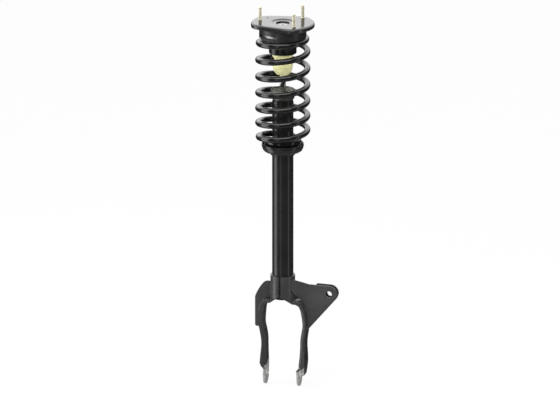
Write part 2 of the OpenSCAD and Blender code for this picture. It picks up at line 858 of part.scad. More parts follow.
// Drum with a floor ring for the spring, drawn in at the top to enter the plate's rim.
// On one side its wall and floor are cut away over a notch.
module mount_housing() {
    inner_r = housing_r - housing_t;
    neck_r = plate_flat - 4.1;
    notch_from = -90;
    notch_to = -168;
    notch_top_z = floor_z + 9;
    reach = 90;
    color(black_paint)
        difference() {
            turned([
                [core_r + 0.1, floor_z], [inner_r, floor_z], [inner_r, 808], [housing_r, 808],
                [housing_r, plate_bottom_z - 8.5], [neck_r, plate_bottom_z - 6.8],
                [neck_r, plate_bottom_z - 2.4], [neck_r - 2.1, plate_bottom_z - 0.4],
                [neck_r - 2.1, plate_bottom_z], [neck_r - housing_t, plate_bottom_z],
                [neck_r - housing_t, plate_bottom_z - 7.6], [inner_r, plate_bottom_z - 9.5],
                [inner_r, floor_z + floor_t], [core_r + 0.1, floor_z + floor_t]
            ]);
            below_seat_plane(0.3);
            translate([0, 0, notch_top_z - 40])
                linear_extrude(height = 40)
                    polygon([
                        [0, 0],
                        for (a = [notch_from, (notch_from + notch_to) / 2, notch_to])
                            reach * [cos(a), sin(a)]
                    ]);
            for (a = stud_angles)
                rotate([0, 0, a])
                    translate([stud_circle_r, 0, plate_bottom_z - 5])
                        cylinder(d = stud_d + 8, h = 10);
        }
}

module upper_spring_pad() {
    color(dark_rubber)
        difference() {
            ring(housing_r - housing_t - 0.2, core_r + 0.3, 810, floor_z - 0.1);
            below_seat_plane(0);
        }
}

module mount_core() {
    low = core_low_z;
    high = plate_bottom_z;
    inner = core_r - 2;
    color("gray")
        turned([
            [cup_r + 0.5, low], [core_r, low], [core_r, high - 2], [core_r - 2, high],
            [recess_r + 2, high], [recess_r + 2, high - 2], [inner - 1, high - 2],
            [inner, high - 3], [inner, low + 2], [cup_r + 0.5, low + 2]
        ]);
}

module mount_rubber() {
    low = cup_lip_z + cup_t + 2;
    inner = sleeve_r;
    outer = core_r - 2;
    color(dark_rubber)
        turned([
            [inner, sleeve_top_z - 12.5], [inner + 3, sleeve_top_z - 12.5], [inner + 9, low + 2.5],
            [outer - 6, low], [outer, low], [outer, low + 15], [outer - 5, low + 15],
            [inner + 12, low + 11], [inner + 4, sleeve_top_z - 1], [inner, sleeve_top_z - 1]
        ]);
}

module mount_sleeve() {
    color(bare_steel)
        ring(sleeve_r, rod_end_r, sleeve_bottom_z, sleeve_top_z);
}

module rod_washers() {
    color("silver") {
        ring(20, rod_end_r, rod_shoulder_z, sleeve_bottom_z);
        ring(15, rod_end_r, sleeve_top_z, nut_z);
    }
}

// Round nut that nearly fills the plate's centre hole
module rod_nut() {
    color("silver")
        turned([
            [rod_end_r, nut_z], [nut_r - 1, nut_z], [nut_r, nut_z + 1],
            [nut_r, nut_z + nut_h - 0.8], [nut_r - 0.8, nut_z + nut_h],
            [rod_end_r, nut_z + nut_h]
        ]);
}

damper_tube();
tube_base();
rod_guide();
rod_seal();
tube_cap();
lower_spring_seat();
lower_spring_pad();
fork_half_left();
fork_half_right();
gusset_plate();
link_bracket();
gas_piston();
gas_piston_ring();
piston_rod();
piston();
piston_band();
valve_shims();
piston_nut();
rebound_stop();
coil_spring();
bump_stop();
stop_collar();
bump_stop_cup();
upper_spring_pad();
mount_housing();
mount_core();
mount_rubber();
mount_sleeve();
rod_washers();
rod_nut();
mount_plate();
mount_studs();
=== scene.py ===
# %% [markdown]
# # A coil-over strut with a stamped fork
# The strut carries a car's corner: a spring round an oil damper, a rubber mount with three
# studs on top, and a fork at the foot that straddles the drive shaft. The imported CAD part is
# loaded first and gives the frame: its bodies, its sizes and its hidden pieces. Almost everything
# that shows is then made again with finer surfaces, each one but the spring riding on the CAD
# body it belongs to.

# %% Load the CAD frame
import math

import bmesh
import bpy
import numpy as np
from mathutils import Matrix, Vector


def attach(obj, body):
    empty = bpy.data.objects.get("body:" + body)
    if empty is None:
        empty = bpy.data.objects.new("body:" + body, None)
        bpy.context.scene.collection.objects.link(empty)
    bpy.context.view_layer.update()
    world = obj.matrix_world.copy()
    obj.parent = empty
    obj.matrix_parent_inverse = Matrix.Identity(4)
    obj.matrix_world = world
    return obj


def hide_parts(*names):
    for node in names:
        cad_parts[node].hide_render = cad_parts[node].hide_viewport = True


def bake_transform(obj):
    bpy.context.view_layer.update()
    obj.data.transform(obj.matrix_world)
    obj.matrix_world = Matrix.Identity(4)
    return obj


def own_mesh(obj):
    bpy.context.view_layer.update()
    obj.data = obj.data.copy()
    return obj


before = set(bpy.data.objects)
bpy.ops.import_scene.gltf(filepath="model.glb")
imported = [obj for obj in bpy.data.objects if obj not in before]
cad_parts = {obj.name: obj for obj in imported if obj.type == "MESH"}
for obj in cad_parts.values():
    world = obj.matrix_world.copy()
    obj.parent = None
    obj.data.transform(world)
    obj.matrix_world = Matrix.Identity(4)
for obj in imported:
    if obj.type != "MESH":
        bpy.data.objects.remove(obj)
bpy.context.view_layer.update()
MM = 0.001
SAME_POINT = 2e-6
TUBE_BODY = "tube_and_fork"
ROD_BODY = "rod_and_mount"

# %% [markdown]
# ## Surfaces from arrays
# A pressed, turned or drawn metal piece is a surface with two directions. Blender can spin or
# loft such shapes by hand, but here each one is a grid of points worked out with numpy and put
# into the mesh in one go, because the same few helpers then make every piece in exact sizes.

# %% Points to mesh
def grid_faces(rows, cols, close_rows=False, close_cols=False):
    """Quads between neighbouring points of a grid that is stored row after row."""
    r = np.arange(rows if close_rows else rows - 1)[:, None]
    c = np.arange(cols if close_cols else cols - 1)[None, :]
    r2, c2 = (r + 1) % rows, (c + 1) % cols
    return np.stack([r * cols + c, r * cols + c2, r2 * cols + c2, r2 * cols + c], -1).reshape(-1, 4)


def put_mesh(name, points_mm, faces):
    """A smooth-shaded object at the origin from points in millimetres. Points that fall together
    are merged, so seams and poles are closed, and faces are turned outwards."""
    mesh = bpy.data.meshes.new(name)
    points = np.asarray(points_mm).reshape(-1, 3) * MM
    mesh.from_pydata(points.tolist(), [], np.asarray(faces).tolist())
    work = bmesh.new()
    work.from_mesh(mesh)
    bmesh.ops.remove_doubles(work, verts=work.verts, dist=SAME_POINT)
    bmesh.ops.recalc_face_normals(work, faces=work.faces)
    work.to_mesh(mesh)
    work.free()
    mesh.shade_smooth()
    obj = bpy.data.objects.new(name, mesh)
    bpy.context.scene.collection.objects.link(obj)
    return obj


def surface(name, grid, close_rows=False, close_cols=False):
    """The object of one grid of points, shaped rows by columns by three."""
    rows, cols = grid.shape[:2]
    return put_mesh(name, grid, grid_faces(rows, cols, close_rows, close_cols))


print("points become meshes, merged within", SAME_POINT, "m")

# %% [markdown]
# A section drawn with sharp corners looks like a drawing, not like metal. So each corner gets a
# radius first, and a turned piece is that rounded section carried round the Z axis. A screw
# modifier could turn it too, but points worked out at once need no live modifier before a cut.

# %% Rounded sections and turned pieces
def rounded(corners, radii, steps=6):
    """Closed outline whose corners are replaced by parabolic arcs. Each arc starts and ends one
    radius over the tangent of half the corner's angle away from the corner."""
    p = np.asarray(corners, float)
    to_prev, to_next = np.roll(p, 1, 0) - p, np.roll(p, -1, 0) - p
    len_prev = np.linalg.norm(to_prev, axis=1)
    len_next = np.linalg.norm(to_next, axis=1)
    a, b = to_prev / len_prev[:, None], to_next / len_next[:, None]
    half = np.arccos(np.clip((a * b).sum(1), -1, 1)) / 2
    reach = np.broadcast_to(radii, half.shape) / np.tan(np.maximum(half, 0.05))
    reach = np.clip(reach, 0.03, 0.47 * np.minimum(len_prev, len_next))[:, None, None]
    s = np.linspace(0, 1, steps)[None, :, None]
    start, end = p[:, None] + a[:, None] * reach, p[:, None] + b[:, None] * reach
    return ((1 - s) ** 2 * start + 2 * s * (1 - s) * p[:, None] + s**2 * end).reshape(-1, 2)


def turned(name, corners, radii, segments):
    """A lathe piece: the rounded half section, as radius and height, swept round the Z axis."""
    section = rounded(corners, radii)
    turn = np.linspace(0, 2 * np.pi, segments, endpoint=False)
    r, z = section[:, :1], section[:, 1:]
    grid = np.stack([r * np.cos(turn), r * np.sin(turn), np.broadcast_to(z, (len(z), segments))], -1)
    return surface(name, grid, close_rows=True, close_cols=True)


print("turned pieces ready")

# %% [markdown]
# Most pieces end the same way: soft edges where asked, even shading, one finish, and
# the CAD body that it moves with. One helper does this.

# %% Edge, finish and body of a piece
def finish_piece(obj, body, material, bevel=0.0, angle=35, replaces=()):
    """Rounds the sharp edges, evens the shading, gives the finish and puts the piece on its body."""
    if bevel:
        mod = obj.modifiers.new("edge", "BEVEL")
        mod.width, mod.segments, mod.limit_method = bevel * MM, 2, "ANGLE"
        mod.angle_limit = math.radians(angle)
        mod.harden_normals = False
    even = obj.modifiers.new("even", "WEIGHTED_NORMAL")
    even.keep_sharp, even.weight = True, 60
    obj.data.materials.clear()
    obj.data.materials.append(material)
    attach(obj, body)
    if replaces:
        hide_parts(*replaces)
    print(f"{obj.name}: {len(obj.data.polygons)} faces")


print("finishing helper ready")

# %% [markdown]
# ## Finishes
# Most of the strut is black electrocoat: a thin paint from a dip tank, half gloss, with a fine
# orange peel. A material could be one flat black, but then edges and large faces look like
# plastic. So each finish mixes a slow drift of tone, a fine grain in its roughness and a small
# bump, all read from Object coordinates in metres so that the grain has its real size.

# %% Material helpers
def nodes_of(name, slot):
    """An empty node material with its main shader. Returns the material, its tree and shader."""
    mat = bpy.data.materials.new(name)
    mat.use_nodes = True
    mat["slot"] = slot
    tree = mat.node_tree
    shader = next(n for n in tree.nodes if n.type == "BSDF_PRINCIPLED")
    return mat, tree, shader


def add(tree, kind, **inputs):
    """A node of this kind with some of its inputs or settings filled in."""
    node = tree.nodes.new(kind)
    for key, value in inputs.items():
        if key in node.inputs:
            node.inputs[key].default_value = value
        else:
            setattr(node, key, value)
    return node


def noise(tree, scale, detail=3.0, rough=0.5, stretch=(1, 1, 1)):
    """Noise in the object's own metres. Stretch squeezes it along X, Y or Z."""
    where = add(tree, "ShaderNodeTexCoord")
    turn = add(tree, "ShaderNodeMapping")
    turn.inputs["Scale"].default_value = stretch
    tex = add(tree, "ShaderNodeTexNoise", Scale=scale, Detail=detail, Roughness=rough)
    tree.links.new(where.outputs["Object"], turn.inputs["Vector"])
    tree.links.new(turn.outputs["Vector"], tex.inputs["Vector"])
    return tex.outputs["Fac"]


def ramp(tree, value, low, high, start, end):
    """Maps value from the span low..high to start..end, held at both ends."""
    node = add(tree, "ShaderNodeMapRange")
    node.inputs["From Min"].default_value, node.inputs["From Max"].default_value = low, high
    node.inputs["To Min"].default_value, node.inputs["To Max"].default_value = start, end
    tree.links.new(value, node.inputs["Value"])
    return node.outputs["Result"]


def blend_colours(tree, factor, first, second):
    """Colour that goes from first to second as factor goes from 0 to 1."""
    node = add(tree, "ShaderNodeMix", data_type="RGBA")
    sockets = [s for s in node.inputs if s.type == "RGBA"]
    for socket, colour in zip(sockets, (first, second)):
        if isinstance(colour, tuple):
            socket.default_value = (*colour, 1.0)
        else:
            tree.links.new(colour, socket)
    tree.links.new(factor, node.inputs["Factor"])
    return next(s for s in node.outputs if s.type == "RGBA")


def bump(tree, shader, layers):
    """Stacks bump layers, each a height, its depth in millimetres and its strength."""
    normal = None
    for height, depth_mm, strength in layers:
        node = add(tree, "ShaderNodeBump", Strength=strength, Distance=depth_mm * MM)
        tree.links.new(height, node.inputs["Height"])
        if normal:
            tree.links.new(normal, node.inputs["Normal"])
        normal = node.outputs["Normal"]
    tree.links.new(normal, shader.inputs["Normal"])


print("material helpers ready")

# %% Black paints
def black_paint(name, slot, tone, gloss, coat=0.0, peel=0.03):
    """Dipped or powdered black: tone drifts slowly, dust lightens some spots, grain in the gloss."""
    mat, tree, shader = nodes_of(name, slot)
    dark = tuple(0.82 * t for t in tone)
    light = tuple(1.25 * t for t in tone)
    drift = ramp(tree, noise(tree, 14, 4), 0.35, 0.65, 0, 1)
    base = blend_colours(tree, drift, dark, light)
    specks = ramp(tree, noise(tree, 900, 2), 0.66, 0.8, 0, 0.35)
    colour = blend_colours(tree, specks, base, tuple(min(1, 4 * t) for t in tone))
    tree.links.new(colour, shader.inputs["Base Color"])
    rough = ramp(tree, noise(tree, 60, 5, 0.6), 0.3, 0.7, gloss - 0.05, gloss + 0.07)
    tree.links.new(rough, shader.inputs["Roughness"])
    shader.inputs["Coat Weight"].default_value = coat
    shader.inputs["Coat Roughness"].default_value = 0.22
    peel_wave = noise(tree, 420, 2, 0.4)
    sheet_wave = noise(tree, 34, 2, 0.4)
    bump(tree, shader, [(sheet_wave, 0.2, 0.2), (peel_wave, peel, 0.5)])
    return mat


electrocoat = black_paint("electrocoat_black", "black_paint", (0.0115, 0.011, 0.0112), 0.2)
drum_paint = black_paint("drum_black", "black_paint", (0.016, 0.0155, 0.0155), 0.34)
plate_paint = black_paint("plate_black", "black_paint", (0.014, 0.0135, 0.0135), 0.14, coat=0.6, peel=0.012)
pressing_paint = black_paint("pressing_black", "black_paint", (0.042, 0.0395, 0.040), 0.34)
powder_coat = black_paint("powder_coat_black", "black_powder_coat", (0.006, 0.006, 0.0063), 0.12,
                          coat=0.4, peel=0.012)
print("paints:", electrocoat.name, powder_coat.name)

# %% Bare and plated metals
def metal(name, slot, tone, gloss, grain=(1, 1, 1), spread=0.12, stain=0.0):
    """Metal with a slow change of tone, a fine grain in its gloss and, if asked, dull stains."""
    mat, tree, shader = nodes_of(name, slot)
    shader.inputs["Metallic"].default_value = 1.0
    drift = ramp(tree, noise(tree, 40, 4), 0.35, 0.65, 0, 1)
    low = tuple(t * (1 - spread) for t in tone)
    high = tuple(min(1, t * (1 + spread)) for t in tone)
    colour = blend_colours(tree, drift, low, high)
    if stain:
        spots = ramp(tree, noise(tree, 150, 5, 0.65), 0.5, 0.68, 0, stain)
        colour = blend_colours(tree, spots, colour, tuple(0.45 * t for t in tone))
    tree.links.new(colour, shader.inputs["Base Color"])
    rough = ramp(tree, noise(tree, 260, 4, 0.6, grain), 0.3, 0.7, gloss - 0.06, gloss + 0.08)
    tree.links.new(rough, shader.inputs["Roughness"])
    bump(tree, shader, [(noise(tree, 700, 3, 0.5, grain), 0.02, 0.4)])
    return mat


phosphate = metal("grey_phosphate", "phosphated_steel", (0.30, 0.315, 0.28), 0.5, spread=0.18, stain=0.35)
chrome_rod = metal("ground_chrome", "chromed_rod", (0.62, 0.62, 0.57), 0.16, grain=(1, 1, 14))
core_zinc = metal("core_zinc", "zinc_plate", (0.42, 0.42, 0.43), 0.38, grain=(1, 1, 8), stain=0.2)
zinc = metal("bright_zinc", "zinc_plate", (0.66, 0.67, 0.68), 0.3, stain=0.2)
yellow_zinc = metal("yellow_zinc", "yellow_zinc", (0.80, 0.76, 0.60), 0.42, stain=0.15)
turned_alloy = metal("turned_alloy", "aluminium", (0.74, 0.74, 0.75), 0.3, grain=(1, 1, 8))
sinter = metal("sintered_steel", "sintered_steel", (0.38, 0.38, 0.39), 0.45, stain=0.4)
shim_steel = metal("ground_spring_steel", "spring_steel", (0.5, 0.5, 0.51), 0.28)
print("metals ready")

# %% Rubber, foam and slide band
def soft_finish(name, slot, low, high, rough, grain_scale, depth_mm, sheen=0.0):
    """Matt moulded stuff: two close tones, high roughness and a fine pitted skin."""
    mat, tree, shader = nodes_of(name, slot)
    drift = ramp(tree, noise(tree, 55, 4), 0.3, 0.7, 0, 1)
    pits = ramp(tree, noise(tree, grain_scale, 3, 0.6), 0.3, 0.55, 0, 1)
    colour = blend_colours(tree, pits, low, blend_colours(tree, drift, low, high))
    tree.links.new(colour, shader.inputs["Base Color"])
    tree.links.new(ramp(tree, pits, 0, 1, rough + 0.1, rough), shader.inputs["Roughness"])
    shader.inputs["Sheen Weight"].default_value = sheen
    bump(tree, shader, [(noise(tree, 70, 2), 0.4, 0.2), (pits, depth_mm, 0.6)])
    return mat


rubber = soft_finish("moulded_rubber", "rubber", (0.02, 0.02, 0.021), (0.034, 0.033, 0.033),
                     rough=0.6, grain_scale=800, depth_mm=0.05)
foam = soft_finish("polyurethane_foam", "yellow_foam", (0.86, 0.84, 0.40), (0.95, 0.94, 0.52),
                   rough=0.62, grain_scale=1100, depth_mm=0.12, sheen=0.15)
slide_band = soft_finish("slide_band", "slide_band", (0.10, 0.085, 0.07), (0.15, 0.12, 0.10),
                         rough=0.5, grain_scale=600, depth_mm=0.03)
print("soft finishes ready")

# %% [markdown]
# ## Damper tube and its dust cap
# The tube is drawn steel with one groove rolled in near its top, which locks the rod guide. A
# cylinder with a torus cut out would do, but the roller leaves soft shoulders, so the whole wall
# is one turned section with wide radii at the groove. The cap is a pressed dish of phosphated
# steel: its inside shows from above, so the section includes its hollow.

# %% Damper tube
TUBE_R, WALL = 25.0, 2.0
TUBE_LOW, TUBE_HIGH = 182.0, 672.0
GROOVE = TUBE_HIGH - 7


def make_tube():
    """Half section of the tube: outer wall upwards with the rolled groove, inner wall down."""
    inner = TUBE_R - WALL
    corners = [
        (TUBE_R, TUBE_LOW), (TUBE_R, GROOVE - 11), (TUBE_R + 0.7, GROOVE - 7.5), (TUBE_R, GROOVE - 4),
        (TUBE_R - 1.6, GROOVE), (TUBE_R + 0.1, GROOVE + 4), (TUBE_R - 0.3, TUBE_HIGH - 2),
        (TUBE_R - 2.6, TUBE_HIGH), (inner - 3, TUBE_HIGH), (inner - 3, TUBE_HIGH - 3),
        (inner, TUBE_HIGH - 3), (inner, GROOVE + 3.2), (inner - 1.3, GROOVE), (inner, GROOVE - 3.2),
        (inner, TUBE_LOW),
    ]
    radii = [1.2, 6, 5, 3, 2.5, 2, 1.4, 1.2, 0.3, 0.3, 0.3, 2, 2, 2, 0.5]
    return turned("drawn_tube", corners, radii, 160)


finish_piece(make_tube(), TUBE_BODY, electrocoat, replaces=["damper_tube"])

# %% Dust cap
CAP_R, CAP_LOW, DISH = 28.8, TUBE_HIGH - 4.4, TUBE_HIGH + 12


def make_cap():
    """Half section of the cup that is pressed over the tube's end: bulged wall, rim, a dish and
    a short collar round the rod, then back along the underside."""
    corners = [
        (TUBE_R + 0.2, CAP_LOW), (TUBE_R + 1.3, CAP_LOW + 0.3), (TUBE_R + 2.9, CAP_LOW + 3.9),
        (CAP_R, CAP_LOW + 9.9), (CAP_R - 0.4, CAP_LOW + 17.4), (CAP_R - 1.5, CAP_LOW + 22.8),
        (CAP_R - 2.5, CAP_LOW + 22.8), (TUBE_R + 0.6, DISH + 3), (TUBE_R - 2.5, DISH), (12.5, DISH + 0.1),
        (11.5, DISH + 2), (11, DISH + 5.2), (7.8, DISH + 5.2), (7.8, DISH + 3.2), (9.4, DISH + 3),
        (9.6, DISH - 1.6), (TUBE_R - 3.5, DISH - 2), (TUBE_R + 0.6, DISH - 0.8), (TUBE_R + 1.4, DISH - 5),
        (TUBE_R + 1.4, DISH - 8.5), (TUBE_R + 0.5, CAP_LOW + 4.4),
    ]
    radii = [0.3, 0.5, 4, 6, 6, 0.6, 0.5, 3, 3, 1.5, 1.5, 1, 0.5, 0.4, 1.2, 1.2, 1.5, 1.5, 3, 3, 2]
    return turned("dust_cap", corners, radii, 144)


finish_piece(make_cap(), TUBE_BODY, phosphate, replaces=["tube_cap"])

# %% [markdown]
# ## Lower spring seat
# A pressed dish is pushed over the tube and welded under its neck. It could be left as the CAD
# solid, but pressings have a wall of one thickness and radii as large as that wall, which catch
# the light. So it is turned again from a rounded section, with the lug that stops the spring's
# end raised on its rim, and a weld bead under the neck.

# %% Weld beads
BEAD_PITCH, BEAD_FLATNESS, BEAD_SEED = 2.6, 0.55, 3


def bead(name, path, radius, hint=(0.0, 0.0, 1.0)):
    """A weld along a path: a tube whose radius swells once a pitch, like rows of coins, and
    wanders a little. The path is points in mm, its ends run out to a point, and hint is any
    direction that it never follows."""
    path = np.asarray(path, float)
    step = np.linalg.norm(np.diff(path, axis=0), axis=1)
    run = np.concatenate([[0], np.cumsum(step)])
    count = max(12, int(run[-1] / (BEAD_PITCH / 5)))
    s = np.linspace(0, run[-1], count)
    line = np.stack([np.interp(s, run, path[:, k]) for k in range(3)], -1)
    along = np.gradient(line, axis=0)
    along /= np.linalg.norm(along, axis=1)[:, None]
    side = np.cross(along, hint)
    side /= np.linalg.norm(side, axis=1)[:, None]
    up = np.cross(side, along)
    wander = np.random.default_rng(BEAD_SEED).normal(0, 0.05, 64)
    wander = np.interp(s, np.linspace(0, s[-1], 64), wander)
    size = radius * (1 + 0.10 * np.abs(np.sin(np.pi * s / BEAD_PITCH)) + wander)
    size = size * np.clip(np.minimum(s, s[-1] - s) / radius, 0, 1) ** 0.5
    turn = np.linspace(0, 2 * np.pi, 14, endpoint=False)[None, :, None]
    wall = size[:, None, None] * (np.cos(turn) * side[:, None] + BEAD_FLATNESS * np.sin(turn) * up[:, None])
    return surface(name, line[:, None] + wall, close_cols=True)


print("bead helper ready")

# %% Seat dish and lug
SEAT_R, SEAT_RIM, SEAT_FLOOR, LUG_DEG = 49.5, 559.5, 541.0, -6


def make_seat():
    """Half section: short neck on the tube, flat cone, wall curving up to the rim, floor inside."""
    neck, rim, floor = SEAT_FLOOR - 8.5, SEAT_RIM, SEAT_FLOOR
    corners = [
        (TUBE_R + 0.05, neck), (TUBE_R + 2.6, neck), (TUBE_R + 3.6, floor - 4.6), (TUBE_R + 9, floor - 2.4),
        (SEAT_R - 7.7, floor - 0.7), (SEAT_R - 2.9, floor + 3.2), (SEAT_R, floor + 12.5), (SEAT_R, rim),
        (SEAT_R - 3, rim), (SEAT_R - 3, floor + 13.5), (SEAT_R - 5.6, floor + 5.2),
        (SEAT_R - 9.5, floor + 2.1), (SEAT_R - 15, floor + 0.3), (TUBE_R + 0.05, floor + 0.3),
    ]
    radii = [0.4, 1.2, 4, 8, 12, 9, 9, 1.4, 1.3, 7, 6, 9, 5, 0.3]
    return turned("spring_seat_dish", corners, radii, 160)


def make_lug():
    """The rim's stop lug: an upright tongue, a little narrower at its top, bent to the rim's curve."""
    half_w, low, high = 4.6, SEAT_RIM - 7, SEAT_RIM + 6.6
    outside, inside = SEAT_R - 0.2, SEAT_R - 2.7
    across = np.linspace(-1, 1, 15)
    grid = []
    for share in np.linspace(0, 1, 9):
        width = half_w * (1 - 0.25 * share**6)
        turn = np.radians(LUG_DEG) + across * width / SEAT_R
        ring = np.concatenate([turn, turn[::-1]])
        radius = np.concatenate([np.full(15, outside), np.full(15, inside)])
        z = np.full(30, low + (high - low) * share)
        grid.append(np.stack([radius * np.cos(ring), radius * np.sin(ring), z], -1))
    grid = np.array(grid)
    cap = np.repeat(grid[-1].mean(0)[None, None], 30, axis=1)
    foot = np.repeat(grid[0].mean(0)[None, None], 30, axis=1)
    return surface("spring_stop_lug", np.concatenate([foot, grid, cap]), close_cols=True)


finish_piece(make_seat(), TUBE_BODY, electrocoat, replaces=["lower_spring_seat"])
finish_piece(make_lug(), TUBE_BODY, electrocoat, bevel=0.6)
turn = np.radians(np.linspace(0, 360, 200))
neck_r, neck_z = TUBE_R + 1.3, SEAT_FLOOR - 8.9
neck_path = np.stack([neck_r * np.cos(turn), neck_r * np.sin(turn), 0 * turn + neck_z], -1)
finish_piece(bead("seat_weld", neck_path, 2.0), TUBE_BODY, electrocoat)

# %% [markdown]
# ## Coil spring
# One bar of spring steel, coiled hot and powder coated. Its lower end is a small pigtail in the
# dish, the pitch grows upwards, and the last turn lies flat against the mount. A spring could be
# a screw modifier, but this one changes radius and pitch, so its centre line is a formula in
# turns and the bar is carried along it.

# %% Spring wire
WIRE_R, COIL_R, PIGTAIL_R, END_R = 7.25, 57.5, 36.3, 54.9
TURNS, FLAT_TURNS, START_DEG = 7.58, 0.1, 195
PIGTAIL_Z, FIRST_Z, PITCH, GROWTH, TOP_Z = 565.5, 575.5, 32.7, 1.78, 812.0


def smooth_step(t):
    """Eases from 0 to 1: three squares minus two cubes."""
    t = np.clip(t, 0, 1)
    return t * t * (3 - 2 * t)


def cubic(a, slope_a, b, slope_b, t):
    """Cubic between two heights with given end slopes."""
    return (a * (2 * t**3 - 3 * t**2 + 1) + slope_a * (t**3 - 2 * t**2 + t)
            + b * (3 * t**2 - 2 * t**3) + slope_b * (t**3 - t**2))


def coil_line(turn):
    """Centre of the wire: pigtail, rise to the first turn, quadratic rise, easing to a flat end."""
    full = TURNS - 1.08
    grow = smooth_step((turn - 0.58) / 0.5)
    radius = np.where(turn < 3, PIGTAIL_R + (COIL_R - PIGTAIL_R) * grow,
                      COIL_R + (END_R - COIL_R) * smooth_step(turn - full))
    work = FIRST_Z + PITCH * (turn - 1) + GROWTH / 2 * (turn - 1) ** 2
    span = 1 - FLAT_TURNS
    low = cubic(PIGTAIL_Z, 0, FIRST_Z, PITCH * span, np.clip((turn - FLAT_TURNS) / span, 0, 1))
    full_z = FIRST_Z + PITCH * (full - 1) + GROWTH / 2 * (full - 1) ** 2
    high = cubic(full_z, PITCH + GROWTH * (full - 1), TOP_Z, 0, np.clip(turn - full, 0, 1))
    z = np.where(turn < 1, low, np.where(turn < full, work, high))
    a = np.radians(START_DEG + 360 * turn)
    return np.stack([radius * np.cos(a), radius * np.sin(a), z], -1)


def make_spring():
    """Rings of 24 points square to the centre line. The cut ends have a small chamfer."""
    sides = 24
    turn = np.linspace(0, TURNS, int(TURNS * 84))
    line = coil_line(turn)
    along = np.gradient(line, axis=0)
    along /= np.linalg.norm(along, axis=1)[:, None]
    across = np.cross(along, [0.0, 0.0, 1.0])
    across /= np.linalg.norm(across, axis=1)[:, None]
    up = np.cross(across, along)
    w = np.linspace(0, 2 * np.pi, sides, endpoint=False)[None, :, None]
    ring = WIRE_R * (np.cos(w) * across[:, None] + np.sin(w) * up[:, None])
    body = line[:, None] + ring
    tips = [line[k] + s * ring[k] + out * along[k]
            for k, out, s in [(0, 0.0, 0.0), (0, 0.0, 0.88), (-1, 0.0, 0.88), (-1, 0.0, 0.0)]]
    body[0] = line[0] + ring[0] + 0.9 * along[0]
    body[-1] = line[-1] + ring[-1] - 0.9 * along[-1]
    grid = np.concatenate([[tips[0], tips[1]], body, [tips[2], tips[3]]])
    return surface("coil_spring_wire", grid, close_cols=True), line


spring, spring_line = make_spring()
spring.modifiers.new("even", "WEIGHTED_NORMAL")
spring.data.materials.append(powder_coat)
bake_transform(spring)
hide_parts("coil_spring")

# The wire's points are read back, in millimetres, and counted.
spots = np.empty(3 * len(spring.data.vertices), np.float32)
spring.data.vertices.foreach_get("co", spots)
spots = spots.reshape(-1, 3).astype(float) / MM
print("spring wire points:", len(spots))

# %% [markdown]
# ## Fork
# Each half of the fork is one stamping: half a collar round the tube, a flare like a trumpet
# that turns into the roof of the arch, a channel arm with bent-up flanges, and a flat bare
# tongue for the bolt. It could be cut from separate plates, but the real sheet flows from one
# form into the next. So named sections are placed down the arm and a smooth surface is drawn
# through them, then the sheet gets its thickness to both sides.

# %% Drill and punch
def cut(obj, cutter):
    """Takes the cutter's volume out of the object, as a drill or punch does, and drops the cutter."""
    mod = obj.modifiers.new("cut", "BOOLEAN")
    mod.operation, mod.solver, mod.object = "DIFFERENCE", "EXACT", cutter
    bpy.context.view_layer.update()
    done = bpy.data.meshes.new_from_object(obj.evaluated_get(bpy.context.evaluated_depsgraph_get()))
    obj.modifiers.remove(mod)
    obj.data = done
    obj.data.shade_smooth()
    bpy.data.objects.remove(cutter)
    return obj


def drill(start, out, steps, sides=48):
    """A closed round bar along out, used as a drill or punch. Steps are pairs of a distance from
    the start and the radius there, so that a drill can carry a countersink."""
    start, out = np.array(start, float), np.array(out, float)
    side = np.cross(out, [0.0, 0.0, 1.0] if abs(out[2]) < 0.9 else [1.0, 0.0, 0.0])
    side /= np.linalg.norm(side)
    up = np.cross(side, out)
    turn = np.linspace(0, 2 * np.pi, sides, endpoint=False)[:, None]
    ring = np.cos(turn) * side + np.sin(turn) * up
    stations = [(steps[0][0], 0), *steps, (steps[-1][0], 0)]
    grid = np.stack([start + far * out + radius * ring for far, radius in stations])
    return surface("drill", grid, close_cols=True)


print("drill ready")

# %% [markdown]
# The sections are placed down the arm. Each has the same number of points, so that the
# point with the same number in every section makes one smooth line down the sheet.

# %% Sections of one fork half
SHEET, BEND, TIP_X, COLLAR_TOP, BOLT_R = 4.0, 7.0, 38.8, 239.0, 8.25
COLS = 15


def collar_row(z_seam, z_mid, ease=0.0):
    """Half ring round the tube from the front seam to the back seam. Its height eases from that
    of the seams to that of the side, and it stands off the tube by ease."""
    a = np.linspace(-85, 85, COLS)
    u = np.clip((85 - np.abs(a)) / 45, 0, 1)
    z = z_seam + (z_mid - z_seam) * u * u * (3 - 2 * u)
    r = TUBE_R + SHEET / 2 + 0.16 + ease
    return np.stack([r * np.cos(np.radians(a)), r * np.sin(np.radians(a)), z], -1)


def channel(width, flange, crown=0.0):
    """Section of a channel as out and across: flange, bend, web, bend, flange. The web swells
    outwards by crown times a squared cosine."""
    half, web = width / 2 - SHEET / 2, SHEET / 2
    root = web + BEND
    k = np.minimum(np.arange(COLS), COLS - 1 - np.arange(COLS))
    side = np.where(np.arange(COLS) < COLS / 2, -1, 1)
    turn = np.radians((k - 2) * 30)
    tip = max(flange, root + 0.4)
    out = np.where(k < 2, tip + (root - tip) * k / 2, np.where(k < 6, root - BEND * np.sin(turn), web))
    across = np.where(k < 2, side * half, np.where(k < 6, side * (half - BEND + BEND * np.cos(turn)),
                                                   (np.arange(COLS) - 7) * (half - BEND) / 2))
    return out + crown * np.cos(np.pi / 2 * across / half) ** 2, across


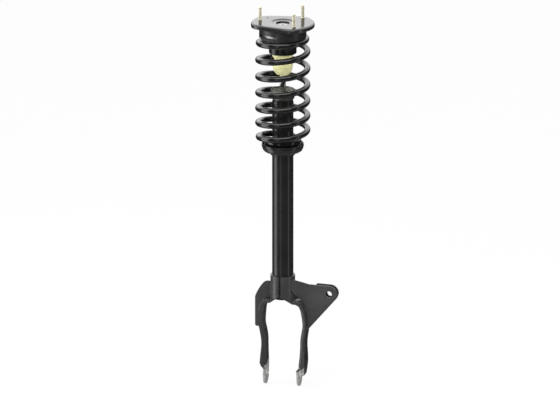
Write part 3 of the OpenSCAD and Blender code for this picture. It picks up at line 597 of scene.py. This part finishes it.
def arm_row(x, z, tilt, mid, width, flange, crown=0.0):
    """Channel across the arm. It starts at x, z on the web's inner face, and tilt turns its open
    side from outwards towards up."""
    out, across = channel(width, flange, crown)
    t = math.radians(tilt)
    return np.stack([x + out * math.cos(t), mid + across, z + out * math.sin(t)], -1)


def foot_row(z, front, mid, width, flange):
    """Foot of the arm: flat in front, with the rear flange of a channel."""
    out, across = channel(width, flange)
    k = np.arange(COLS)
    x = np.where(k < 7, TIP_X + SHEET / 2, TIP_X + out)
    y = np.where(k < 7, front + (mid - front) * k / 7, mid + across)
    return np.stack([x, y, np.full(COLS, z)], -1)


def tongue_row(z, width):
    """Flat row of the tip."""
    y = -1 + width * np.linspace(-0.5, 0.5, COLS)
    return np.stack([np.full(COLS, TIP_X + SHEET / 2), y, np.full(COLS, z)], -1)


def mixed_row(a, b, edge, middle):
    """Row between a and b. The share of b goes from edge at the ends to middle."""
    u = np.clip(np.minimum(np.arange(COLS), COLS - 1 - np.arange(COLS)) / 5, 0, 1)
    share = (edge + (middle - edge) * u * u * (3 - 2 * u))[:, None]
    return a * (1 - share) + b * share


HALF_ROWS = np.array([
    collar_row(COLLAR_TOP, COLLAR_TOP), collar_row(216, 216), collar_row(199, 195, 0.1),
    collar_row(190, 181.5, 0.5),
    mixed_row(collar_row(184, 172, 0.5), arm_row(28, 171.5, 72, 1.5, 49, 5, 4), 0.5, 0.75),
    arm_row(32.5, 169.5, 58, 3, 48, 5.5, 7), arm_row(39.6, 164.4, 46, 6, 46, 7, 8),
    arm_row(43.8, 154, 26, 8.2, 45, 9, 5), arm_row(45.6, 143, 9, 9.8, 43.5, 10.4, 1.5),
    arm_row(47, 130, 4, 11.4, 40.5, 10.6), arm_row(47.2, 114, -4, 12.7, 37.5, 10.2),
    arm_row(44, 96, -11, 14.4, 36.8, 10), arm_row(41.5, 80, -4, 14.8, 36.5, 10),
    arm_row(41, 60, 0, 14.8, 36.5, 10.6), arm_row(40.2, 40, -1, 13, 37, 13),
    arm_row(39.2, 25, -1, 11, 38.6, 14.6), arm_row(TIP_X, 17, 0, 10, 39, 14.6),
    foot_row(10.5, -21.5, 9.3, 39.4, 14), foot_row(0, -22, 8.2, 39.2, 12.6),
    foot_row(-7, -21.5, 7.4, 38.6, 10.4), tongue_row(-13, 40), tongue_row(-19, 36),
    tongue_row(-24.5, 28), tongue_row(-28.5, 16), tongue_row(-30, 5),
])
print("sections in a half:", len(HALF_ROWS))

# %% Loft and thickness
def resample(grid, steps, axis):
    """Catmull-Rom curve through the grid's points along one axis, with this many steps a span."""
    g = np.moveaxis(grid, axis, 0)
    n = len(g)
    at = np.arange(0, (n - 1) * steps + 1) / steps
    k = np.minimum(at.astype(int), n - 2)
    t = (at - k).reshape(-1, *[1] * (g.ndim - 1))
    a, b, c, d = (g[np.clip(k + j, 0, n - 1)] for j in (-1, 0, 1, 2))
    square, cube = 2 * a - 5 * b + 4 * c - d, 3 * b - a - 3 * c + d
    out = 0.5 * (2 * b + (c - a) * t + square * t**2 + cube * t**3)
    return np.moveaxis(out, 0, axis)


def thick_sheet(name, middle, thickness):
    """Closed sheet: the middle surface moved half its thickness to both sides along its normal,
    joined round its edges."""
    down, along = np.gradient(middle, axis=0), np.gradient(middle, axis=1)
    normal = np.cross(along, down)
    normal /= np.linalg.norm(normal, axis=2)[..., None]
    front, back = middle - normal * thickness / 2, middle + normal * thickness / 2
    rows, cols = middle.shape[:2]
    loop = np.concatenate([front, back[:, ::-1]], axis=1)
    faces = grid_faces(rows, 2 * cols, close_cols=True)
    c = np.arange(cols - 1)
    first = np.stack([c, c + 1, 2 * cols - 2 - c, 2 * cols - 1 - c], -1)
    last = first + (rows - 1) * 2 * cols
    return put_mesh(name, loop, np.concatenate([faces, first, last]))


def make_fork_half(name, side):
    """One half with its bolt hole. Side is 1 for the right half and -1 for the left one."""
    middle = resample(resample(HALF_ROWS, 8, 0), 4, 1)
    middle[..., 0] *= side
    half = thick_sheet(name, middle, SHEET)
    return cut(half, drill((side * 30, 0, 0), (side, 0, 0), [(0, BOLT_R), (30, BOLT_R)], 64))


print("fork helpers ready")

# %% [markdown]
# The tips are left bare, so that the bolt clamps steel on steel. Two materials on two sets of
# faces would give an edge that follows the faces, so one material holds both finishes and a mask.

# %% Finish of the fork: painted sheet with bare tips
BARE_LINE, BARE_SLOPE, BARE_WAVE = 0.0185, 0.40, 0.0016
WEB_FACE, FLANGE_FACE = 0.0450, 0.0462


def fork_paint():
    """Electrocoat down to a wavy line, then bare ground steel. The line climbs towards the back
    edge of each tongue, and the flanges stay painted: the mask reads height, depth and side."""
    mat, tree, shader = nodes_of("fork_paint_bare_tips", "black_paint")
    where = add(tree, "ShaderNodeTexCoord")
    split = add(tree, "ShaderNodeSeparateXYZ")
    tree.links.new(where.outputs["Object"], split.inputs["Vector"])

    def maths(kind, a, b):
        """One maths operation on two values, each a number or a socket."""
        node = add(tree, "ShaderNodeMath", operation=kind)
        for socket, value in zip(node.inputs, (a, b)):
            if isinstance(value, (int, float)):
                socket.default_value = value
            else:
                tree.links.new(value, socket)
        return node.outputs["Value"]

    slope = maths("MULTIPLY", split.outputs["Y"], BARE_SLOPE)
    line = maths("ADD", slope, BARE_LINE)
    wave = ramp(tree, noise(tree, 90, 4), 0.3, 0.7, -BARE_WAVE, BARE_WAVE)
    below = maths("SUBTRACT", maths("ADD", line, wave), split.outputs["Z"])
    low_enough = ramp(tree, below, -0.0004, 0.0010, 0, 1)
    inside = ramp(tree, maths("ABSOLUTE", split.outputs["X"], 0), WEB_FACE, FLANGE_FACE, 1, 0)
    bare = maths("MULTIPLY", low_enough, inside)
    drift = ramp(tree, noise(tree, 14, 4), 0.35, 0.65, 0, 1)
    paint = blend_colours(tree, drift, (0.030, 0.028, 0.0285), (0.044, 0.0415, 0.042))
    steel_drift = ramp(tree, noise(tree, 120, 4), 0.3, 0.7, 0, 1)
    steel = blend_colours(tree, steel_drift, (0.46, 0.46, 0.45), (0.66, 0.66, 0.65))
    tree.links.new(blend_colours(tree, bare, paint, steel), shader.inputs["Base Color"])
    tree.links.new(maths("MULTIPLY", bare, 0.55), shader.inputs["Metallic"])
    gloss = ramp(tree, noise(tree, 60, 5, 0.6), 0.3, 0.7, 0.24, 0.34)
    tree.links.new(maths("ADD", gloss, maths("MULTIPLY", bare, 0.12)), shader.inputs["Roughness"])
    bump(tree, shader, [(noise(tree, 34, 2, 0.4), 0.4, 0.3), (noise(tree, 420, 2, 0.4), 0.03, 0.5)])
    return mat


fork_finish = fork_paint()
for hand, side in (("left", -1), ("right", 1)):
    half = make_fork_half(f"fork_sheet_{hand}", side)
    finish_piece(half, TUBE_BODY, fork_finish, 0.7, 50, [f"fork_half_{hand}"])

# %% [markdown]
# ## Link bracket and gusset
# The bracket on the right arm is a folded sheet with two walls and one hole through both. The
# gusset on the left arm is a flat plate. Their CAD solids already have the right shape, so a
# merged copy of each one is taken, its flat faces are cleaned of triangles, and its edges get
# the small radius that a press tool and the paint leave. Beads then weld both to the fork: those
# on the arms follow the arm's own sections, so that they lie on the sheet.

# %% Copies of CAD sheets with soft edges
def dressed_copy(node, name, material, bevel):
    """Merged copy of a CAD node with flat faces joined and edges rounded."""
    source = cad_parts[node]
    work = bmesh.new()
    work.from_mesh(source.data)
    work.transform(source.matrix_world)
    bmesh.ops.remove_doubles(work, verts=work.verts, dist=SAME_POINT)
    bmesh.ops.dissolve_limit(work, angle_limit=math.radians(0.6), verts=work.verts, edges=work.edges)
    bmesh.ops.recalc_face_normals(work, faces=work.faces)
    mesh = bpy.data.meshes.new(name)
    work.to_mesh(mesh)
    work.free()
    mesh.shade_smooth()
    obj = bpy.data.objects.new(name, mesh)
    bpy.context.scene.collection.objects.link(obj)
    finish_piece(obj, TUBE_BODY, material, bevel, 30, [node])


dressed_copy("gusset_plate", "gusset_sheet", pressing_paint, 0.5)
dressed_copy("link_bracket", "link_bracket_sheet", pressing_paint, 0.5)

# %% Welds of the bracket and the gusset
def arm_face(y, z_low, z_high):
    """Points down the outer face of the right arm at this depth, worked out from its sections:
    each section is crossed at y, then half the sheet is added outwards."""
    web = resample(HALF_ROWS, 8, 0)[:, 4:11]
    line = np.array([[np.interp(y, row[:, 1], row[:, k]) for k in (0, 2)] for row in web])
    line = line[(line[:, 1] > z_low) & (line[:, 1] < z_high) & (line[:, 0] > 36)]
    return np.stack([line[:, 0] + SHEET / 2, np.full(len(line), y), line[:, 1]], -1)


bracket_path = arm_face(1.8, 114, 160)
gusset_path = bracket_path * [-1, 1, 1] + [0, 0.2, 0]
WELDS = {
    "bracket_arm_weld": (bracket_path, 2.1), "gusset_arm_weld": (gusset_path, 2.1),
    "web_low_weld": ([(27.5, -15.4, 202), (35, -6.5, 191.5), (43, 3, 180.5)], 2.2),
    "web_collar_weld": ([(26, -15.6, 204), (26, -15.6, 231)], 1.7),
    "gusset_collar_weld": ([(-29.5, 1.8, 188), (-29.5, 1.8, 216)], 1.7),
}
for name, (path, radius) in WELDS.items():
    finish_piece(bead(name, path, radius, hint=(0.0, 1.0, 0.0)), TUBE_BODY, pressing_paint)

# %% [markdown]
# ## Bump stop and cup
# The stop is polyurethane foam, pale yellow, with two swellings so that it gets stiffer as it
# is squeezed. The cup above it is black sheet with one round hole in its wall.

# %% Bump stop
STOP_LOW, STOP_HIGH = 725.0, 817.8


def make_stop():
    """Half section of the foam: round foot, wide lower swelling, waist, straight upper part."""
    z = STOP_LOW
    corners = [
        (8, z + 2), (9, z), (10.4, z + 0.3), (14.8, z + 2.4), (19, z + 6.6), (22.4, z + 13),
        (24.0, z + 23.5), (22.6, z + 31.5), (20.2, z + 35.6), (19.6, z + 38.5), (20.6, z + 41.6),
        (24.2, z + 45.2), (25.4, z + 50), (25.4, STOP_HIGH), (8, STOP_HIGH),
    ]
    return turned("foam_bump_stop", corners, [1, 0.8, 2, 8, 14, 16, 18, 12, 6, 5, 6, 8, 6, 1, 0.5], 128)


stop = make_stop()
stop.data.materials.append(foam)
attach(stop, ROD_BODY)
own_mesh(stop)
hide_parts("bump_stop")
print(f"{stop.name}: {STOP_HIGH - STOP_LOW:.1f} mm high")

# %% Cup with its round hole
CUP_R, CUP_LOW, CUP_WALL = 32.5, 779.0, 2.5
FLOOR_Z, FLOOR_T = 821.0, 2.0
CUP_LIP = 819.0
CUP_HOLE_DEG, CUP_HOLE_R, CUP_SINK_R, CUP_HOLE_Z = -58, 7.5, 13.5, CUP_LOW + 14.5


def make_cup():
    """Half section of the cup with a rolled lower lip and a flange on the housing's floor."""
    corners = [
        (CUP_R - CUP_WALL, CUP_LOW), (CUP_R, CUP_LOW), (CUP_R, CUP_LIP), (CUP_R + 6, CUP_LIP),
        (CUP_R + 6, CUP_LIP + CUP_WALL), (CUP_R - CUP_WALL, CUP_LIP + CUP_WALL),
    ]
    shell = turned("bump_stop_cup_shell", corners, [1, 1.1, 0.6, 0.6, 0.6, 2.5], 144)
    turn = math.radians(CUP_HOLE_DEG)
    out = np.array([math.cos(turn), math.sin(turn), 0.0])
    steps = [(15, CUP_HOLE_R), (CUP_R - 2.2, CUP_HOLE_R), (CUP_R + 1.8, CUP_SINK_R),
             (CUP_R + 9, CUP_SINK_R)]
    return cut(shell, drill((0, 0, CUP_HOLE_Z), out, steps, 64))


finish_piece(make_cup(), ROD_BODY, electrocoat, 0.8, 40, ["bump_stop_cup"])

# %% [markdown]
# ## Upper mount
# A drum pressed from sheet holds the rubber. Its lower edge is cut along a plane that leans with
# the spring's last turn, and a notch shows the plain core inside. The top plate has two flat
# sides, a rolled rim and a dished centre with a hole that the rod's round nut nearly fills.

# %% Mount housing
HOUSE_R, HOUSE_T, PLATE_TOP, PLATE_T = 55.5, 2.5, 853.0, 3.0
SEAT_TURN, SEAT_TILT, SEAT_PLANE = math.radians(15), math.radians(2.9), 817.3
CORE_R, CORE_LOW, NOTCH_DEG, NOTCH_TOP = 47.5, 817.0, (-90, -168), 830.0


def make_housing():
    """Drum wall whose lower edge follows a tilted plane: for each angle, the wall's foot is where
    the plane meets it. It narrows at the top to enter the plate's rim, has a floor ring inside,
    and wall and floor are cut away over a notch at the left front."""
    turn = np.linspace(0, 2 * np.pi, 240, endpoint=False)
    inner, top, neck = HOUSE_R - HOUSE_T, PLATE_TOP - PLATE_T, 53.4

    def foot(radius):
        """Height of the tilted plane at this radius, for every angle."""
        return SEAT_PLANE + math.tan(SEAT_TILT) * radius * np.cos(turn - SEAT_TURN)

    rows = [
        (inner, foot(inner)), (inner + 0.5, foot(inner) - 0.45), (HOUSE_R - 0.5, foot(HOUSE_R) - 0.45),
        (HOUSE_R, foot(HOUSE_R) + 0.1), (HOUSE_R, top - 9.8), (HOUSE_R - 0.35, top - 8.5),
        (54.3, top - 7.2), (neck + 0.1, top - 6), (neck, top - 2.6), (neck - 2, top - 0.4),
        (neck - 2.5, top - 0.1),
        (neck - 2.5, top - 7), (inner - 0.4, top - 9.2), (inner, top - 10),
        (inner, FLOOR_Z + FLOOR_T), (CORE_R + 0.1, FLOOR_Z + FLOOR_T), (CORE_R + 0.1, FLOOR_Z),
        (inner, FLOOR_Z),
    ]
    grid = np.array([np.stack([r * np.cos(turn), r * np.sin(turn), z + 0 * turn], -1) for r, z in rows])
    shell = surface("mount_drum", grid, close_rows=True, close_cols=True)
    edge = np.radians(np.linspace(*NOTCH_DEG, 24))
    wedge = np.concatenate([[[0, 0]], 90 * np.stack([np.cos(edge), np.sin(edge)], -1)])
    loops = [np.column_stack([scale * wedge, np.full(len(wedge), z)])
             for scale, z in [(0, 780), (1, 780), (1, NOTCH_TOP), (0, NOTCH_TOP)]]
    return cut(shell, surface("notch_punch", np.array(loops), close_cols=True))


finish_piece(make_housing(), ROD_BODY, drum_paint, replaces=["mount_housing"])

# %% Core of the mount
core_section = [
    (CUP_R + 0.5, CORE_LOW), (CORE_R, CORE_LOW), (CORE_R, PLATE_TOP - PLATE_T), (29, PLATE_TOP - PLATE_T),
    (29, PLATE_TOP - 5), (CORE_R - 2, PLATE_TOP - 5), (CORE_R - 2, CORE_LOW + 2),
    (CUP_R + 0.5, CORE_LOW + 2),
]
core = turned("mount_core_drum", core_section, [0.3, 1.5, 2.5, 0.3, 0.3, 1.5, 1, 0.3], 144)
finish_piece(core, ROD_BODY, core_zinc, replaces=["mount_core"])

# %% Top plate
PLATE_R, PLATE_FLAT, PLATE_RIM, HOLE_R, RECESS = 74.5, 57.5, 10.0, 16.0, 2.5
FLAT_DEG, LOCATE_CIRCLE, LOCATE_DEG, LOCATE_R = 101, 50, 150, 2.5


def plate_ring(inset, z, turn):
    """Outline of the plate, drawn in by inset: the soft minimum of a circle and two straight
    sides, so that their corners are round."""
    facing = [np.cos(turn - s * math.radians(FLAT_DEG)) for s in (1, -1)]
    sides = [(PLATE_FLAT - inset) / np.maximum(0.01, f) for f in facing]
    flat, p = np.minimum(*sides), 14
    reach = (flat**-p + (PLATE_R - inset) ** -float(p)) ** (-1 / p)
    return np.stack([reach * np.cos(turn), reach * np.sin(turn), z + 0 * turn], -1)


def round_ring(r, z, turn):
    """Plain circle."""
    return np.stack([r * np.cos(turn), r * np.sin(turn), z + 0 * turn], -1)


def make_plate():
    """Rows of the plate's section from the rim's foot over the top to the hole and back under.
    The rim and the recess are curved by points set close together."""
    turn = np.linspace(0, 2 * np.pi, 360, endpoint=False)
    top, under = PLATE_TOP, PLATE_TOP - PLATE_T
    rim_out = [(0.35, top - PLATE_RIM), (0.0, top - PLATE_RIM + 1.0), (0.0, top - 5.5), (0.35, top - 3.7),
               (1.3, top - 1.9), (2.8, top - 0.7), (4.8, top - 0.1), (7.0, top)]
    rim_in = [(8.0, under), (5.6, under - 0.3), (4.1, under - 1.5), (3.4, under - 3.2),
              (3.2, top - PLATE_RIM + 1), (2.9, top - PLATE_RIM)]
    dish_up = [(33, top), (30, top), (28, top - 0.25), (26.6, top - 0.9), (25.2, top - 1.9),
               (23.8, top - 2.4), (21, top - RECESS), (17.2, top - RECESS), (16.3, top - RECESS - 0.3),
               (HOLE_R, top - RECESS - 1.0), (HOLE_R, under - RECESS + 0.4), (16.5, under - RECESS)]
    dish_down = [(23.6, under - RECESS), (25.4, under - 1.6), (27.2, under - 0.4), (29.5, under)]
    rows = [plate_ring(i, z, turn) for i, z in rim_out]
    outer, inner = rows[-1], round_ring(33, top, turn)
    rows += [outer + (inner - outer) * s for s in (0.25, 0.5, 0.75)]
    rows += [round_ring(r, z, turn) for r, z in dish_up + dish_down]
    rows += [plate_ring(i, z, turn) for i, z in rim_in]
    return surface("pressed_top_plate", np.array(rows), close_rows=True, close_cols=True)


locate_turn = math.radians(LOCATE_DEG)
locate = np.array([LOCATE_CIRCLE * math.cos(locate_turn), LOCATE_CIRCLE * math.sin(locate_turn), 840])
plate = cut(make_plate(), drill(locate, (0, 0, 1), [(0, LOCATE_R), (20, LOCATE_R)]))
finish_piece(plate, ROD_BODY, plate_paint, replaces=["mount_plate"])

# %% [markdown]
# ## Studs, nut and rod
# The studs are pressed into the plate: a shoulder, then a rolled thread. A thread can be faked
# with a bump, but it shows in the outline, so its surface is real: the radius falls and rises
# with height minus turn, once a pitch.

# %% Threaded studs
STUD_R, STUD_TOP, STUD_PITCH = 4.0, PLATE_TOP + 33.0, 1.25
STUD_CIRCLE, STUD_TURNS = 55.0, (180, 47, -47)


def threaded(r, low, high, pitch, depth, sides=40):
    """Closed screw surface: radius r minus depth times a triangle wave of z / pitch - turn. The
    tip has a cone and the foot is closed flat."""
    z = np.arange(low, high, pitch / 8)[:, None]
    a = np.linspace(0, 2 * np.pi, sides, endpoint=False)[None, :]
    wave = np.abs(((z / pitch - a / (2 * np.pi)) % 1) * 2 - 1)
    fade = np.clip((z - low) / (1.5 * pitch), 0, 1)
    screw = r - depth * fade * np.clip(wave * 1.25 - 0.1, 0, 1)
    radius = np.minimum(screw, r - np.clip(z - (high - 1.3), 0, 2))
    wall = np.stack([radius * np.cos(a), radius * np.sin(a), z + 0 * a], -1)
    foot, tip = wall[:1] * [0, 0, 1], wall[-1:] * [0, 0, 1]
    return np.concatenate([foot, wall, tip])


def make_studs():
    """Three studs: the screw surface and a turned shoulder, set out on the stud circle."""
    shank = threaded(STUD_R, PLATE_TOP + 2.6, STUD_TOP, STUD_PITCH, 0.62)
    top = PLATE_TOP
    corners = [(0, top - 6.2), (STUD_R + 3.4, top - 6.2), (STUD_R + 3.4, top - 3.1),
               (STUD_R + 0.3, top - 3.1), (STUD_R + 0.7, top + 0.2), (STUD_R + 0.7, top + 2.5),
               (STUD_R - 0.3, top + 3.2), (0, top + 3.2)]
    shoulder = rounded(corners, [0.1, 0.4, 0.4, 0.2, 0.2, 0.3, 0.2, 0.1], 4)
    a = np.linspace(0, 2 * np.pi, 40, endpoint=False)
    r, z = shoulder[:, :1], shoulder[:, 1:]
    collar = np.stack([r * np.cos(a), r * np.sin(a), z + 0 * a], -1)
    points, faces, count = [], [], 0
    for turn in np.radians(STUD_TURNS):
        place = np.array([STUD_CIRCLE * math.cos(turn), STUD_CIRCLE * math.sin(turn), 0])
        for grid, closed in ((shank, False), (collar, True)):
            points.append((grid + place).reshape(-1, 3))
            faces.append(grid_faces(*grid.shape[:2], close_rows=closed, close_cols=True) + count)
            count += grid.shape[0] * grid.shape[1]
    return put_mesh("top_studs", np.concatenate(points), np.concatenate(faces))


finish_piece(make_studs(), ROD_BODY, yellow_zinc, replaces=["mount_studs"])

# %% Rod
ROD_R, ROD_SHOULDER, ROD_END_R, ROD_TOP = 7.0, 818.0, 6.0, 848.0
ROD_FOOT, THREAD_FOOT = 568.0, ROD_TOP - 14


def make_rod():
    """Ground rod from the shims on its piston up to the foot of its thread. The rod's thin lower
    end, through shims, piston and nut, isn't drawn: the tube hides it."""
    corners = [(0, ROD_FOOT), (ROD_R, ROD_FOOT), (ROD_R, ROD_SHOULDER),
               (ROD_END_R - 0.2, ROD_SHOULDER), (ROD_END_R - 0.2, THREAD_FOOT), (0, THREAD_FOOT)]
    return turned("ground_rod", corners, [0.1, 0.6, 0.6, 0.2, 0.2, 0.1], 96)


finish_piece(make_rod(), ROD_BODY, chrome_rod, replaces=["piston_rod"])
rod_thread = threaded(ROD_END_R, THREAD_FOOT, ROD_TOP, 1.5, 0.75, 64)
rod_end = cut(surface("rod_end_thread", rod_thread, close_cols=True),
              drill((0, 0, ROD_TOP - 5), (0, 0, 1), [(0, 3), (8, 3)], 6))
finish_piece(rod_end, ROD_BODY, zinc)

# %% Round nut
NUT_R, NUT_LOW, NUT_HIGH = 15.4, 840.5, 847.0
nut_section = [(ROD_END_R, NUT_LOW), (NUT_R, NUT_LOW), (NUT_R, NUT_HIGH), (ROD_END_R, NUT_HIGH)]
nut = turned("round_nut", nut_section, [0.3, 1.0, 1.1, 0.6], 96)
finish_piece(nut, ROD_BODY, zinc, replaces=["rod_nut"])

# %% [markdown]
# ## Hidden and half-hidden pieces
# The rubber, sleeve and washers show a little through the notch and the centre hole, and the
# damper's inside only in a section. Their CAD solids are exact, so they stay as they are and
# only get their own finish.

# %% Finishes on CAD nodes
CAD_FINISHES = {
    "tube_base": electrocoat, "rod_guide": turned_alloy, "rod_seal": rubber, "lower_spring_pad": rubber,
    "gas_piston": turned_alloy, "gas_piston_ring": rubber, "piston": sinter, "piston_band": slide_band,
    "valve_shims": shim_steel, "piston_nut": shim_steel, "rebound_stop": rubber, "upper_spring_pad": rubber,
    "stop_collar": rubber, "mount_rubber": rubber, "mount_sleeve": zinc, "rod_washers": zinc,
}
for node, finish in CAD_FINISHES.items():
    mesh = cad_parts[node].data
    for index in range(max(1, len(mesh.materials))):
        if index < len(mesh.materials):
            mesh.materials[index] = finish
        else:
            mesh.materials.append(finish)
print("CAD nodes with a finish:", len(CAD_FINISHES))

# %% [markdown]
# ## Camera, floor and light
# A long lens from far away keeps the tube's sides parallel. The background is white for the
# camera, the floor keeps a soft shadow, and black paint only shows its form by what it mirrors.
# So there are large panels at the sides, in front and above, and the world is dark in front and
# bright above and behind. The paint does not mirror the floor, which would fill the dark parts
# with white.

# %% Camera
AZIMUTH, ELEVATION, DISTANCE = math.radians(15), math.radians(16.2), 40.0
AIM_HEIGHT, AIM_LEFT = 0.420, 0.0065
LENS_MM, SENSOR_MM, FAR_END = 1098.0, 36.0, 90.0
right = Vector((math.cos(AZIMUTH), math.sin(AZIMUTH), 0))
level = math.cos(ELEVATION)
back = Vector((math.sin(AZIMUTH) * level, -math.cos(AZIMUTH) * level, math.sin(ELEVATION)))
target = Vector((0, 0, AIM_HEIGHT)) - right * AIM_LEFT
lens = bpy.data.cameras.new("camera")
lens.lens, lens.sensor_width, lens.clip_end = LENS_MM, SENSOR_MM, FAR_END
camera = bpy.data.objects.new("camera", lens)
camera.location = target + back * DISTANCE
camera.rotation_mode = "QUATERNION"
camera.rotation_quaternion = (-back).to_track_quat("-Z", "Y")
bpy.context.scene.collection.objects.link(camera)
bpy.context.scene.camera = camera
print("camera at", [round(v, 2) for v in camera.location])

# %% Floor
def card(name, centre, across, up, material):
    """A flat rectangular card, two by two points, given by its centre and half sides in metres."""
    c, a, u = (np.array(v, float) for v in (centre, across, up))
    grid = np.array([[c - a - u, c + a - u], [c - a + u, c + a + u]]) / MM
    obj = surface(name, grid)
    obj.data.materials.append(material)
    return obj


def floor_paint():
    """White for the camera with a seventh of real shading, so that the shadow stays but is faint."""
    mat, tree, shader = nodes_of("floor_white", "stage")
    shader.inputs["Roughness"].default_value = 0.9
    shader.inputs["Specular IOR Level"].default_value = 0.0
    white = blend_colours(tree, noise(tree, 3), (0.86, 0.86, 0.86), (0.9, 0.9, 0.9))
    tree.links.new(white, shader.inputs["Base Color"])
    glow = add(tree, "ShaderNodeEmission", Color=(1, 1, 1, 1), Strength=1.0)
    mix = add(tree, "ShaderNodeMixShader")
    path = add(tree, "ShaderNodeLightPath")
    share = ramp(tree, path.outputs["Is Camera Ray"], 0, 1, 0, 0.86)
    tree.links.new(share, mix.inputs[0])
    tree.links.new(shader.outputs["BSDF"], mix.inputs[1])
    tree.links.new(glow.outputs["Emission"], mix.inputs[2])
    out = next(n for n in tree.nodes if n.type == "OUTPUT_MATERIAL")
    tree.links.new(mix.outputs["Shader"], out.inputs["Surface"])
    return mat


floor = card("floor", (0, 0, -0.0305), (9, 0, 0), (0, 9, 0), floor_paint())
floor.visible_glossy = False
floor.visible_shadow = False
print("floor ready")

# %% Lamps
def panel(name, azimuth, height, distance, size, radiance, aim_height=None):
    """A large soft panel at this azimuth from the camera's side, facing the object's middle. Its
    power is its radiance times its area times pi, so that its brightness in the paint is plain."""
    data = bpy.data.lights.new(name, "AREA")
    data.shape, data.size, data.size_y = "RECTANGLE", size[0], size[1]
    data.energy = radiance * math.pi * size[0] * size[1]
    lamp = bpy.data.objects.new(name, data)
    a = AZIMUTH + math.radians(azimuth)
    lamp.location = Vector((math.sin(a) * distance, -math.cos(a) * distance, height))
    aim = Vector((0, 0, height if aim_height is None else aim_height)) - lamp.location
    lamp.rotation_mode = "QUATERNION"
    lamp.rotation_quaternion = aim.to_track_quat("-Z", "Y")
    bpy.context.scene.collection.objects.link(lamp)


panel("left_panel", -84, 0.3, 1.6, (1.0, 3.2), 2.2)
panel("front_panel", -24, 0.4, 2.6, (0.6, 2.6), 0.6)
panel("right_panel", 66, 0.3, 1.8, (0.35, 3.0), 1.0)
panel("top_panel", -10, 2.3, 1.5, (2.6, 0.8), 3.2, 0.5)
print("lamps:", len(bpy.data.lights))

# %% World
SKY_BRIGHT, SKY_DARK, GROUND_GREY, AMBIENT = 1.7, 0.03, 0.22, 0.95
SKY_EDGE, GROUND_EDGE = (0.42, 0.64), (-0.8, -0.45)
SKY_BACK, SKY_RISE = 0.5, 0.866
SKY_UP = Vector((-back.x, -back.y, 0)).normalized() * SKY_BACK + Vector((0, 0, SKY_RISE))


def mix_values(tree, factor, first, second):
    """Number that goes from first to second as factor goes from 0 to 1."""
    node = add(tree, "ShaderNodeMix", data_type="FLOAT")
    for socket, value in zip(node.inputs[2:4], (first, second)):
        if isinstance(value, float):
            socket.default_value = value
        else:
            tree.links.new(value, socket)
    tree.links.new(factor, node.inputs["Factor"])
    return node.outputs["Result"]


def make_world():
    """White for the camera and an even light for matt surfaces. Gloss mirrors a studio: bright
    above and behind, dark in front and at the sides, a grey floor. The direction is set against
    a vector that leans back."""
    world = bpy.data.worlds.new("studio")
    world.use_nodes = True
    sky = world.node_tree
    ground = next(n for n in sky.nodes if n.type == "BACKGROUND")
    ground.inputs["Color"].default_value = (1, 1, 1, 1)
    where = add(sky, "ShaderNodeTexCoord")
    lean = add(sky, "ShaderNodeVectorMath", operation="DOT_PRODUCT")
    lean.inputs[1].default_value = SKY_UP
    sky.links.new(where.outputs["Generated"], lean.inputs[0])
    split = add(sky, "ShaderNodeSeparateXYZ")
    sky.links.new(where.outputs["Generated"], split.inputs["Vector"])
    above = ramp(sky, lean.outputs["Value"], *SKY_EDGE, SKY_DARK, SKY_BRIGHT)
    below = ramp(sky, split.outputs["Z"], *GROUND_EDGE, GROUND_GREY, 0)
    both = add(sky, "ShaderNodeMath", operation="ADD")
    sky.links.new(above, both.inputs[0])
    sky.links.new(below, both.inputs[1])
    path = add(sky, "ShaderNodeLightPath")
    seen = add(sky, "ShaderNodeMath", operation="MAXIMUM")
    sky.links.new(path.outputs["Is Camera Ray"], seen.inputs[0])
    sky.links.new(path.outputs["Is Transmission Ray"], seen.inputs[1])
    mirrored = mix_values(sky, path.outputs["Is Glossy Ray"], AMBIENT, both.outputs["Value"])
    sky.links.new(mix_values(sky, seen.outputs["Value"], mirrored, 1.0), ground.inputs["Strength"])
    return world


bpy.context.scene.world = make_world()
bpy.context.scene.view_settings.view_transform = "Standard"
print("light ready")
